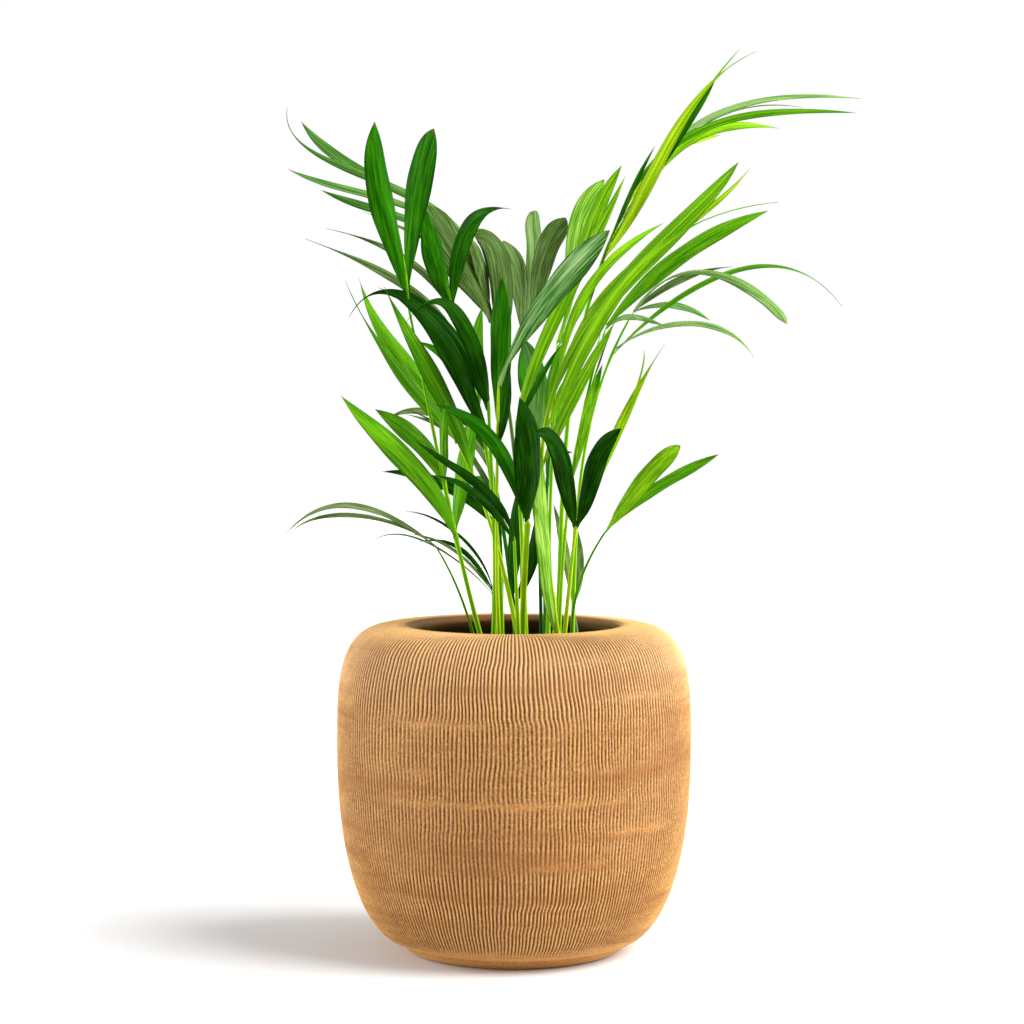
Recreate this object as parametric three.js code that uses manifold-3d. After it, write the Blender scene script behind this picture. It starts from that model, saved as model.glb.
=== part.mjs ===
// A potted areca palm: a clump of slender stalks with arching fronds in a round combed clay pot.
// Millimetres, +Z up. The origin is the middle of the pot's flat underside.
// -Y is the side that the plant is seen from.
import * as THREE from "three";
import { mergeVertices } from "three/addons/utils/BufferGeometryUtils.js";
import Module from "manifold-3d";

const wasm = await Module();
wasm.setup();

// Pot
const POT_HEIGHT = 189;
const BELLY_RADIUS = 102.5;
const BELLY_HEIGHT = 120;
const FOOT_RADIUS = 66;
const FOOT_HEIGHT = 6;
const CREST_RADIUS = 63.5;
const MOUTH_RADIUS = 60;
const LIP_ROUND = 1.5;
const WALL = 8;
const FLOOR = 10;
const LOWER_FULLNESS = { out: 1.92, up: 2.31 }; // 2 is a true ellipse, and more is squarer
const UPPER_FULLNESS = { out: 3.28, up: 3.37 };
const LOWER_STEPS = 9;
const UPPER_STEPS = 7;
const CAVITY_STEPS = 4;
const POT_SIDES = 40;

// Potting soil, and the short stems that stand in it
const CLEARANCE = 0.3; // between pieces that touch
const SOIL_TOP = 160;
const SOIL_SIDES = 20;
const STEM_TOP = 176;
const STEM_RADIUS = 5;
const STEM_FLARE = 1.5; // how much wider a stem is where it meets the soil
const STEM_SIDES = 10;
const STEM_STEPS = 3;

// Fronds
const EYE = new THREE.Vector3(0, -1517, 328); // where the plant is looked at from
const VIEW = new THREE.Vector3(0, 1, 0);
const STALK_SIDES = 6;
const STALK_STEPS = 8;
const LEAF_STEP = 21; // length of leaf between two cross-sections
const LEAF_THICKNESS = 1.3;
const THICKNESS_SHARE = 0.011; // least thickness of a leaf as a share of its length
const NEAR = 0.01; // share of a run over which its direction is taken
const LEAF_END = 0.2; // width of a leaf at its root and tip as a share of its greatest width

const COLOURS = {
  clay: 0xb98a58,
  soil: 0x2b2019,
  stem: 0x9cb04a,
  bright: 0x9cc02c,
  green: 0x5f9a24,
  deep: 0x2f5b26,
  grey: 0x7f9672,
};
const ROUGHNESS = { clay: 0.85, soil: 0.95, stem: 0.6, bright: 0.5, green: 0.5, deep: 0.45, grey: 0.6 };

// Where each short stem stands on the soil: across, depth.
const STEMS = {
  left: [-17, -9],
  left_back: [-9, 12],
  left_centre: [-10, -24],
  front: [5, -28],
  centre: [6, -6],
  back: [3, 25],
  back_right: [18, 17],
  right_front: [26, -19],
  right: [24, 0],
  right_back: [36, 11],
  far_right: [38, -8],
};

// Each frond has its stem, the place of its foot on that stem, its head and the bow of its stalk.
// A leaf leaves the stalk at a share of its run. Heads and tips are across, height, depth.
// bow: how far it arches up from the straight line after a third and after two thirds of its run.
// reach: how far along that line the second of these is taken. turn: how far the blade is rolled, in degrees.
// Across and height are as they look from the eye, measured in the plane through the pot's axis.
const FRONDS = {
  tall_left: {
    stem: "left", foot: [2, 0], head: [-62, 378, -48], bow: [-4, -1],
    girth: [2.4, 0.9], colour: "green",
    leaves: [
      { at: 0.31, tip: [-100, 321, -75], bow: [17, 2], width: 13, turn: 25 },
      { at: 0.33, tip: [-23, 316, 10], bow: [2, 0], width: 11, turn: 30 },
      { at: 0.42, tip: [-80, 313, -20], bow: [15, 9], width: 10, turn: 25 },
      { at: 0.47, tip: [-39, 317, -60], bow: [2, 3], width: 8, turn: 50 },
      { at: 0.98, tip: [-80, 478, -58], bow: [-3, -9], width: 14, turn: 10 },
      { at: 0.98, tip: [-46, 474, -92], bow: [2, 6], width: 15, turn: 15 },
    ],
  },
  low_left: {
    stem: "left", foot: [-2.5, -1], head: [-46, 235, -40], bow: [3, 4],
    girth: [1.4, 0.8], colour: "deep",
    leaves: [
      { at: 0.99, tip: [-139, 232, -85], bow: [27, 40], width: 7, turn: 50, reach: 0.7 },
      { at: 0.97, tip: [-129, 241, -60], bow: [22, 17], width: 5, turn: 50, reach: 0.9 },
    ],
  },
  low_back_left: {
    stem: "left_back", foot: [-2.5, 0], head: [-12, 209, 22], bow: [-1, 0],
    girth: [1.2, 0.8], colour: "deep",
    leaves: [
      { at: 0.97, tip: [-62, 254, 70], bow: [16, 12], width: 6, turn: 50, reach: 0.8 },
      { at: 0.97, tip: [-57, 236, 50], bow: [10, 19], width: 6, turn: 50 },
      { at: 0.9, tip: [-84, 235, 36], bow: [14, 23], width: 4, turn: 50, reach: 0.87 },
    ],
  },
  low_front_left: {
    stem: "front", foot: [-2, -1], head: [0, 240, -36], bow: [0, 0],
    girth: [1.5, 1], colour: "deep",
    leaves: [
      { at: 0.98, tip: [-57, 295, -75], bow: [18, 4], width: 7, turn: 40 },
      { at: 0.95, tip: [-47, 275, -95], bow: [9, 13], width: 6, turn: 40 },
    ],
  },
  back_left: {
    stem: "left_back", foot: [1, 2.5], head: [-10, 266, 34], bow: [2, 2],
    girth: [1.5, 1], colour: "deep",
    leaves: [
      { at: 0.73, tip: [-76, 277, 88], bow: [15, 12], width: 8, turn: 35, reach: 0.74 },
      { at: 0.99, tip: [-73, 307, 100], bow: [28, 24], width: 6, turn: 35, reach: 0.9 },
      { at: 0.91, tip: [-62, 310, 64], bow: [8, 20], width: 4, turn: 35, reach: 0.6 },
    ],
  },
  mid_left: {
    stem: "front", foot: [-1, 2.5], head: [-34, 297, -8], bow: [4, 8],
    girth: [1.9, 0.9], colour: "bright",
    leaves: [
      { at: 0.99, tip: [-97, 387, 14], bow: [-2, -9], width: 7, turn: 25 },
      { at: 0.97, tip: [-89, 388, 40], bow: [8, -10], width: 8, turn: 25 },
      { at: 0.81, tip: [-75, 384, -36], bow: [14, 2], width: 11, turn: 25 },
    ],
  },
  dark_left: {
    stem: "left_centre", foot: [-2, 1], head: [-15, 323, -26], bow: [4, 1],
    girth: [2, 1], colour: "deep",
    leaves: [
      { at: 0.82, tip: [-78, 383, -26], bow: [7, 24], width: 14, turn: 25 },
      { at: 0.93, tip: [-95, 366, -8], bow: [36, 56], width: 11, turn: 35, reach: 1.05 },
      { at: 0.96, tip: [-63, 362, -80], bow: [20, 52], width: 13, turn: 30, reach: 1.1 },
    ],
  },
  centre_broad: {
    stem: "left_centre", foot: [2, -1], head: [-9, 330, -54], bow: [-3, -1],
    girth: [2, 1], colour: "deep",
    leaves: [
      { at: 0.98, tip: [55, 416, -110], bow: [16, 10], width: 17, turn: 15 },
      { at: 0.82, tip: [-7, 389, -34], bow: [1, 1], width: 14, turn: 30 },
      { at: 0.75, tip: [-3, 340, -66], bow: [-1, -2], width: 9, turn: 30 },
    ],
  },
  upper_left: {
    stem: "left_back", foot: [2, -2], head: [-37, 376, 4], bow: [10, 11],
    girth: [1.8, 0.8], colour: "green",
    leaves: [
      { at: 0.99, tip: [-52, 429, -24], bow: [-2, 0], width: 12, turn: 25 },
      { at: 0.98, tip: [-2, 428, -50], bow: [12, 27], width: 11, turn: 30, reach: 0.85 },
      { at: 0.92, tip: [-108, 417, 30], bow: [23, 14], width: 6, turn: 30 },
      { at: 0.81, tip: [-120, 411, 12], bow: [29, 13], width: 6, turn: 30 },
    ],
  },
  tall_back_left: {
    stem: "back", foot: [2.5, 0], head: [-21, 398, 78], bow: [9, 12],
    girth: [2.1, 0.9], colour: "grey",
    leaves: [
      { at: 0.99, tip: [-130, 486, 118], bow: [34, -36], width: 6, turn: 35, reach: 0.85 },
      { at: 0.98, tip: [-122, 478, 142], bow: [24, -11], width: 8, turn: 35 },
      { at: 0.96, tip: [-130, 451, 94], bow: [38, 9], width: 6, turn: 35 },
      { at: 0.92, tip: [-111, 439, 66], bow: [32, 7], width: 5, turn: 35 },
      { at: 0.84, tip: [-52, 430, 58], bow: [2, -1], width: 14, turn: 20 },
      { at: 0.75, tip: [-24, 415, 78], bow: [12, 24], width: 14, turn: 25, reach: 0.94 },
    ],
  },
  back_centre: {
    stem: "back_right", foot: [-2, 1], head: [5, 359, 72], bow: [3, 4],
    girth: [1.6, 0.9], colour: "grey",
    leaves: [
      { at: 0.97, tip: [-6, 410, 132], bow: [4, 12], width: 13, turn: 25 },
      { at: 0.98, tip: [10, 426, 140], bow: [-4, -5], width: 9, turn: 20 },
      { at: 0.98, tip: [30, 423, 104], bow: [-2, 14], width: 14, turn: 25 },
    ],
  },
  back_right: {
    stem: "back_right", foot: [2, -1], head: [25, 353, 42], bow: [2, 1],
    girth: [1.6, 0.9], colour: "bright",
    leaves: [
      { at: 0.99, tip: [52, 445, 108], bow: [-6, 22], width: 12, turn: 25 },
      { at: 0.99, tip: [62, 453, 62], bow: [1, 11], width: 8, turn: 25 },
    ],
  },
  centre_bright: {
    stem: "centre", foot: [1, 2], head: [1, 307, 4], bow: [1, 0],
    girth: [1.7, 0.9], colour: "bright",
    leaves: [
      { at: 0.98, tip: [64, 447, 16], bow: [12, 2], width: 9, turn: 20 },
      { at: 0.79, tip: [5, 354, 54], bow: [-8, -13], width: 13, turn: 25 },
    ],
  },
  tall_right: {
    stem: "right", foot: [1, 2], head: [61, 423, 26], bow: [8, 25],
    girth: [2.2, 0.9], colour: "bright",
    leaves: [
      { at: 0.9, tip: [138, 517, 6], bow: [9, 18], width: 8, turn: 20 },
      { at: 0.99, tip: [199, 491, 68], bow: [31, 44], width: 6, turn: 40, reach: 0.55 },
      { at: 0.96, tip: [196, 482, 18], bow: [44, 32], width: 7, turn: 40, reach: 0.75 },
      { at: 0.98, tip: [165, 486, 102], bow: [17, 31], width: 5, turn: 50 },
      { at: 0.94, tip: [152, 474, 42], bow: [13, 39], width: 7, turn: 40 },
      { at: 0.92, tip: [118, 470, 72], bow: [4, 24], width: 7, turn: 40 },
    ],
  },
  mid_right: {
    stem: "right_front", foot: [-1, 2], head: [33, 347, -36], bow: [7, 28],
    girth: [2.4, 1.1], colour: "bright",
    leaves: [
      { at: 0.98, tip: [129, 455, -76], bow: [12, -1], width: 10, turn: 20 },
      { at: 0.97, tip: [136, 452, -40], bow: [17, 2], width: 6, turn: 30 },
      { at: 0.94, tip: [151, 431, -108], bow: [24, 35], width: 7, turn: 35, reach: 0.74 },
      { at: 0.91, tip: [86, 420, -14], bow: [20, 20], width: 6, turn: 35 },
      { at: 0.75, tip: [58, 363, -70], bow: [1, -2], width: 6, turn: 20 },
      { at: 0.77, tip: [33, 358, 2], bow: [5, 5], width: 7, turn: 20 },
      { at: 0.17, tip: [15, 290, -36], bow: [-1, -6], width: 9, turn: 15 },
    ],
  },
  right: {
    stem: "right", foot: [2, -2], head: [54, 363, 6], bow: [8, 11],
    girth: [1.5, 0.8], colour: "green",
    leaves: [
      { at: 0.99, tip: [146, 427, -16], bow: [11, 10], width: 9, turn: 25 },
      { at: 0.98, tip: [87, 361, 8], bow: [13, 6], width: 5, turn: 50 },
    ],
  },
  low_right: {
    stem: "right_back", foot: [-2, 0], head: [70, 371, 24], bow: [10, 25],
    girth: [1.8, 0.8], colour: "green",
    leaves: [
      { at: 0.85, tip: [189, 372, 50], bow: [34, 55], width: 5, turn: 50, reach: 0.82 },
      { at: 0.99, tip: [157, 362, -18], bow: [54, 10], width: 7, turn: 40, reach: 0.97 },
      { at: 0.99, tip: [113, 364, 66], bow: [9, 9], width: 5, turn: 50 },
      { at: 0.87, tip: [138, 343, 6], bow: [24, 25], width: 6, turn: 45, reach: 0.82 },
      { at: 0.62, tip: [51, 339, 36], bow: [2, 2], width: 7, turn: 25 },
    ],
  },
  front_right: {
    stem: "right_front", foot: [2, -1], head: [36, 250, -30], bow: [0, 0],
    girth: [1.6, 1.1], colour: "deep",
    leaves: [
      { at: 0.97, tip: [12, 299, -100], bow: [5, 18], width: 10, turn: 25, reach: 0.94 },
      { at: 0.98, tip: [62, 302, -74], bow: [2, 13], width: 10, turn: 25 },
      { at: 0.88, tip: [86, 351, -12], bow: [5, 8], width: 6, turn: 30 },
    ],
  },
  front_centre: {
    stem: "centre", foot: [-1, -2], head: [8, 250, -30], bow: [1, 1],
    girth: [2.6, 1.4], colour: "deep",
    leaves: [
      { at: 0.98, tip: [3, 320, -98], bow: [3, 3], width: 16, turn: 15 },
      { at: 0.95, tip: [-46, 316, -46], bow: [15, 23], width: 9, turn: 25 },
    ],
  },
  back_low: {
    stem: "back", foot: [-2, -3], head: [-1, 203, 14], bow: [1, 1],
    girth: [1.3, 0.9], colour: "deep",
    leaves: [
      { at: 0.96, tip: [4, 273, 10], bow: [3, 1], width: 9, turn: 25 },
      { at: 0.85, tip: [16, 261, 15], bow: [-4, -3], width: 8, turn: 25 },
    ],
  },
  near_right: {
    stem: "far_right", foot: [-1, -2], head: [54, 244, -26], bow: [6, 7],
    girth: [1.3, 0.8], colour: "bright",
    leaves: [
      { at: 0.99, tip: [96, 292, -78], bow: [3, 5], width: 10, turn: 25 },
      { at: 0.97, tip: [118, 287, -48], bow: [9, 4], width: 7, turn: 35 },
    ],
  },
  low_back_right: {
    stem: "right_back", foot: [1.5, 3], head: [34, 200, 26], bow: [0, 0],
    girth: [1.2, 0.9], colour: "grey",
    leaves: [
      { at: 0.96, tip: [23, 258, 62], bow: [3, 2], width: 6, turn: 30 },
      { at: 0.96, tip: [36, 246, 88], bow: [-4, -3], width: 6, turn: 30 },
    ],
  },
  far_back_left: {
    stem: "back", foot: [-1.5, 3], head: [-22, 312, 96], bow: [4, 6],
    girth: [1.6, 0.8], colour: "green",
    leaves: [
      { at: 0.98, tip: [-56, 352, 172], bow: [8, 14], width: 9, turn: 40 },
      { at: 0.98, tip: [-18, 372, 184], bow: [2, 6], width: 11, turn: 30 },
      { at: 0.8, tip: [-44, 308, 160], bow: [8, 16], width: 8, turn: 45 },
      { at: 0.62, tip: [-30, 268, 142], bow: [6, 12], width: 8, turn: 45 },
    ],
  },
  far_back_right: {
    stem: "back_right", foot: [1, 2.5], head: [22, 300, 100], bow: [2, 4],
    girth: [1.6, 0.8], colour: "green",
    leaves: [
      { at: 0.98, tip: [46, 338, 178], bow: [6, 14], width: 10, turn: 35 },
      { at: 0.98, tip: [6, 352, 168], bow: [-4, -8], width: 11, turn: 30 },
      { at: 0.76, tip: [34, 288, 158], bow: [4, 14], width: 8, turn: 45 },
    ],
  },
};

// A finish of its own for every piece.
function finish(colour) {
  return new THREE.MeshStandardMaterial({
    color: COLOURS[colour],
    roughness: ROUGHNESS[colour],
    metalness: 0,
  });
}

// A closed body with shared corners and nothing but positions.
function closed(geometry) {
  geometry.deleteAttribute("normal");
  geometry.deleteAttribute("uv");
  return mergeVertices(geometry, 1e-3);
}

// One body from several that run into each other.
function fuse(geometries) {
  const solids = geometries.map((geometry) => {
    const mesh = new wasm.Mesh({
      numProp: 3,
      vertProperties: geometry.attributes.position.array,
      triVerts: new Uint32Array(geometry.index.array),
    });
    return new wasm.Manifold(mesh);
  });
  const made = solids.reduce((whole, piece) => whole.add(piece)).getMesh();
  return new THREE.BufferGeometry()
    .setAttribute("position", new THREE.BufferAttribute(made.vertProperties, 3))
    .setIndex(new THREE.BufferAttribute(made.triVerts, 1));
}

// A profile of radius and height pairs turned round the axis.
function turned(profile, sides) {
  const points = profile.map(([radius, height]) => new THREE.Vector2(radius, height));
  return closed(new THREE.LatheGeometry(points, sides).rotateX(Math.PI / 2));
}

// A quarter of a squared ellipse between two radii and two heights, from the narrow end to the wide one.
function quarter(narrow, wide, from, to, fullness, steps) {
  return Array.from({ length: steps + 1 }, (_, step) => {
    const angle = ((step / steps) * Math.PI) / 2;
    const radius = narrow + (wide - narrow) * Math.sin(angle) ** (2 / fullness.out);
    const height = to - (to - from) * Math.cos(angle) ** (2 / fullness.up);
    return [radius, height];
  });
}

// The pot's inner face from the floor up to the neck under the lip.
function cavity() {
  const inner = BELLY_RADIUS - WALL;
  const lower = quarter(FOOT_RADIUS - WALL, inner, FLOOR, BELLY_HEIGHT, LOWER_FULLNESS, CAVITY_STEPS);
  const upper = quarter(MOUTH_RADIUS, inner, POT_HEIGHT - WALL, BELLY_HEIGHT, UPPER_FULLNESS, CAVITY_STEPS);
  return [...lower, ...upper.reverse().slice(1)];
}

function potGeometry() {
  const lower = quarter(FOOT_RADIUS, BELLY_RADIUS, FOOT_HEIGHT, BELLY_HEIGHT, LOWER_FULLNESS, LOWER_STEPS);
  const upper = quarter(CREST_RADIUS, BELLY_RADIUS, POT_HEIGHT, BELLY_HEIGHT, UPPER_FULLNESS, UPPER_STEPS);
  const outside = [[0, 0], [FOOT_RADIUS, 0], ...lower, ...upper.reverse().slice(1)];
  const lip = [
    [MOUTH_RADIUS + LIP_ROUND, POT_HEIGHT - LIP_ROUND / 2],
    [MOUTH_RADIUS, POT_HEIGHT - 2 * LIP_ROUND],
  ];
  return turned([...outside, ...lip, ...cavity().reverse(), [0, FLOOR]], POT_SIDES);
}

// The soil fills the pot's hollow up to its level top.
function soilGeometry() {
  const wall = cavity();
  const above = wall.findIndex(([, height]) => height > SOIL_TOP);
  const [[lowRadius, low], [highRadius, high]] = [wall[above - 1], wall[above]];
  const rim = lowRadius + ((highRadius - lowRadius) * (SOIL_TOP - low)) / (high - low);
  const inwards = ([radius, height]) => [radius - CLEARANCE, height];
  const foot = [wall[0][0], FLOOR + CLEARANCE];
  const side = [foot, ...wall.slice(1, above), [rim, SOIL_TOP]].map(inwards);
  return turned([[0, FLOOR + CLEARANCE], ...side, [0, SOIL_TOP]], SOIL_SIDES);
}

// A short sheathed stem that flares out where it meets the soil.
function stemGeometry() {
  const foot = SOIL_TOP + CLEARANCE;
  const side = Array.from({ length: STEM_STEPS + 1 }, (_, step) => {
    const share = step / STEM_STEPS;
    const radius = STEM_RADIUS * (1 + (STEM_FLARE - 1) * (1 - share) ** 2);
    return [radius, foot + (STEM_TOP - foot) * share];
  });
  return turned([[0, foot], ...side, [0, STEM_TOP]], STEM_SIDES);
}

// From how a point looks in the plane through the pot's axis, with its depth, to where it really is.
function stand(seen) {
  const share = (seen.y - EYE.y) / -EYE.y;
  return new THREE.Vector3(seen.x, 0, seen.z).sub(EYE).multiplyScalar(share).add(EYE);
}

// The other way round.
function look(real) {
  const share = (real.y - EYE.y) / -EYE.y;
  const seen = real.clone().sub(EYE).divideScalar(share).add(EYE);
  return seen.setY(real.y);
}

function place([across, height, depth]) {
  return new THREE.Vector3(across, depth, height);
}

// The arched line of a stalk or leaf, as it looks from the eye.
function arch(from, to, bow, reach) {
  const run = to.clone().sub(from);
  const length = Math.hypot(run.x, run.z);
  const outwards = run.x < 0 ? -1 : 1;
  const rise = new THREE.Vector3(-run.z, 0, run.x).multiplyScalar(outwards / length);
  const handle = (share, off) => from.clone().addScaledVector(run, share).addScaledVector(rise, off);
  return new THREE.CubicBezierCurve3(from, handle(1 / 3, bow[0]), handle(reach, bow[1]), to);
}

// Lays an upright body of unit height along a curve, rolled about it and widened along its run.
function bend(geometry, curve, turn, width) {
  const corners = geometry.attributes.position;
  for (let i = 0; i < corners.count; i += 1) {
    const share = corners.getY(i) + 0.5;
    const point = stand(curve.getPoint(share));
    const ahead = stand(curve.getPoint(Math.min(share + NEAR, 1)));
    const behind = stand(curve.getPoint(Math.max(share - NEAR, 0)));
    const along = ahead.sub(behind).normalize();
    const across = VIEW.clone().cross(along).normalize();
    across.applyAxisAngle(along, THREE.MathUtils.degToRad(turn));
    const through = across.clone().cross(along);
    point.addScaledVector(across, corners.getX(i) * width(share)).addScaledVector(through, corners.getZ(i));
    corners.setXYZ(i, point.x, point.y, point.z);
  }
  return closed(geometry);
}

// A tapering stalk, cut level where it stands on its stem.
function stalkGeometry(curve, girth) {
  const rod = new THREE.CylinderGeometry(girth[1], girth[0], 1, STALK_SIDES, STALK_STEPS);
  const stalk = bend(rod, curve, 0, () => 1);
  const corners = stalk.attributes.position;
  for (let i = 0; i < corners.count; i += 1) {
    corners.setZ(i, Math.max(corners.getZ(i), STEM_TOP + CLEARANCE));
  }
  return stalk;
}

// A narrow blade, widest a little before its middle.
function leafGeometry(curve, leaf) {
  const length = stand(curve.v0).distanceTo(stand(curve.v3));
  const thickness = Math.max(LEAF_THICKNESS, THICKNESS_SHARE * length);
  const blade = new THREE.BoxGeometry(1, 1, thickness, 1, Math.ceil(length / LEAF_STEP), 1);
  const width = (share) => leaf.width * Math.max(LEAF_END, Math.sin(Math.PI * share ** 0.9) ** 0.7);
  return bend(blade, curve, leaf.turn, width);
}

function frondGeometry(frond) {
  const [stemAcross, stemDepth] = STEMS[frond.stem];
  const foot = new THREE.Vector3(stemAcross + frond.foot[0], stemDepth + frond.foot[1], STEM_TOP + CLEARANCE);
  const stalk = arch(look(foot), place(frond.head), frond.bow, 2 / 3);
  const leaves = frond.leaves.map((leaf) => {
    const curve = arch(stalk.getPoint(leaf.at), place(leaf.tip), leaf.bow, leaf.reach ?? 2 / 3);
    return leafGeometry(curve, leaf);
  });
  return fuse([stalkGeometry(stalk, frond.girth), ...leaves]);
}

function piece(name, geometry, colour) {
  const mesh = new THREE.Mesh(geometry, finish(colour));
  mesh.name = name;
  return mesh;
}

const palm = new THREE.Group();
palm.add(piece("pot", potGeometry(), "clay"));
palm.add(piece("soil", soilGeometry(), "soil"));
for (const [name, [across, depth]] of Object.entries(STEMS)) {
  const stem = piece(`stem_${name}`, stemGeometry(), "stem");
  stem.position.set(across, depth, 0);
  palm.add(stem);
}
for (const [name, frond] of Object.entries(FRONDS)) {
  palm.add(piece(`frond_${name}`, frondGeometry(frond), frond.colour));
}

export default palm;
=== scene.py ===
import math
import random
from typing import NamedTuple

import bpy
import numpy as np
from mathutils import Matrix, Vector, noise


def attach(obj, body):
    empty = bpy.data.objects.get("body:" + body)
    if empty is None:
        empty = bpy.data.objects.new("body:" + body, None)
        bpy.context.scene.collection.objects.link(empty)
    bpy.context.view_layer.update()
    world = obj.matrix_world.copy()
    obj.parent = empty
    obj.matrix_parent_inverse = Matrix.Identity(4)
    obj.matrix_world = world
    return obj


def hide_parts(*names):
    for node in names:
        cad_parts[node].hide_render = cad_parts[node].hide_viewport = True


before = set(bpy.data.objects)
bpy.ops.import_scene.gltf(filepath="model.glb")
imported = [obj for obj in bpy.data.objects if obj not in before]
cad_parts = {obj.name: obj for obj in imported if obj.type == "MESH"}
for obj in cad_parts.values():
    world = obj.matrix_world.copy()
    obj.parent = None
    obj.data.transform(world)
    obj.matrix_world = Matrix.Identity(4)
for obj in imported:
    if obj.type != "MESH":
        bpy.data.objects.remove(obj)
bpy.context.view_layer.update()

bl_info = {
    "name": "Potted areca palm",
    "version": (1, 0, 0),
    "blender": (4, 5, 0),
    "location": "3D View > Sidebar > Palm",
    "description": "Dresses the solids of a potted palm with its clay, soil, stalks and leaflets",
    "category": "Add Mesh",
}

MM = 0.001
ROOT = "root"
WHITE = (1, 1, 1, 1)
BLACK = (0, 0, 0, 1)

# The eye that the fronds are laid out for, in millimetres from the middle of the pot's underside.
EYE = np.array((0.0, -1517.0, 328.0))
VIEW = np.array((0.0, 1.0, 0.0))

# The camera, about at that eye: its place in metres, how far it looks down in radians, and its lens
# and the width of its film in millimetres.
CAMERA_PLACE = (-0.00115, -1.5168, 0.3281)
CAMERA_TILT = 0.049
CAMERA_LENS = 92.38
CAMERA_FILM = 36

# Each distant light: the direction that it comes from and the degrees that it spreads over.
KEY_LIGHT = ((0.97, -0.28, 0.88), 48)
SIDE_LIGHT = ((-1.0, 0.1, 0.25), 40)
EDGE_LIGHT = ((1.0, 0.35, 0.22), 40)

# The studio in metres: the side of its floor, and the radius and height of the wall round it.
STUDIO_SIDE = 40
STUDIO_RADIUS = 5
STUDIO_HEIGHT = 1.6

# The pot's driving sizes in millimetres.
POT_HEIGHT = 189.0
BELLY_RADIUS = 102.5
BELLY_HEIGHT = 120.0
FOOT_RADIUS = 66.0
FOOT_HEIGHT = 6.0
CREST_RADIUS = 63.5
MOUTH_RADIUS = 60.0
LIP_ROUND = 4.0
WALL = 8.0
FLOOR = 10.0

# How full the wall's lower and upper curves are, outwards and upwards: 2 is an ellipse, more is squarer.
LOWER_FULLNESS = (1.92, 2.31)
UPPER_FULLNESS = (3.28, 3.37)

# The rounded edge of the foot: how far out from its radius and how high, in millimetres.
FOOT_EDGE = ((-11, 0), (-6.5, 0.4), (-3.2, 1.6), (-1.1, 3.4), (-0.1, 5.2))

# Millimetres of profile between two rows of the pot's mesh, and its columns to each groove and in all.
OUTER_ROW = 4.4
INNER_ROW = 9
GROOVE_COLUMNS = 4
POT_SECTORS = 18

# Heights in millimetres where the comb was lifted off the clay and set down again.
COMB_SEAMS = (14.0, 28.0, 41.0, 63.0, 82.0, 99.0, 117.0, 144.0, 156.0, 176.0)

# A corner of the pot is on its outside where its normal leans out from the axis by more than this.
OUTSIDE_LEAN = -0.3

# Heights of the stems' tops and of the soil, and the radius of a stem, in millimetres.
STEM_TOP = 176.3
SOIL_TOP = 160.0
STEM_RADIUS = 5

# Where each short stem stands on the soil: across and depth in millimetres.
STEMS = {
    "left": (-17, -9),
    "left_back": (-9, 12),
    "left_centre": (-10, -24),
    "front": (5, -28),
    "centre": (6, -6),
    "back": (3, 25),
    "back_right": (18, 17),
    "right_front": (26, -19),
    "right": (24, 0),
    "right_back": (36, 11),
    "far_right": (38, -8),
}

# The bark: how many bits, how far out they lie in millimetres, and how wide a bit is along its run.
BARK_COUNT = 420
BARK_REACH = 78
BARK_OUTLINE = ((-0.5, 0.5), (-0.15, 1), (0.2, 0.9), (0.5, 0.4))

# Every leaflet is rolled at least this far, in degrees, so that the crown is full from its sides too.
LEAST_LEAN = 36

# The rows and sides of a stalk's mesh, the columns on each side of a leaflet's midrib and its fewest rows.
STALK_ROWS = 60
STALK_SIDES = 12
BLADE_COLUMNS = 5
LEAST_ROWS = 18

# Half of a leaflet's least width in millimetres, which only its tip goes below, and how wide its root
# is beside its widest place.
THREAD = 0.34
ROOT_SHARE = 0.22

# What the random draws start from.
COMB_SEED = 7
BARK_SEED = 11
STEM_SEED = 5
LEAF_SEED = 3


def paint(red, green, blue):
    """A screen colour, with channels from 0 to 255, as linear values."""
    linear = []
    for share in (red / 255, green / 255, blue / 255):
        linear.append(((share + 0.055) / 1.055) ** 2.4 if share > 0.04045 else share / 12.92)
    return (*linear, 1.0)


class Look(NamedTuple):
    """One look of leaflets and stalks: their colour and that of their pale streaks, their slot in the
    record, their roughness and gloss, how clearly a leaflet's veins and midrib show, and the share of
    its run over which its root is pale.
    """

    colour: tuple
    streak: tuple
    slot: str
    roughness: float
    gloss: float
    veins: float
    midrib: float
    root: float = 0.16


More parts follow.
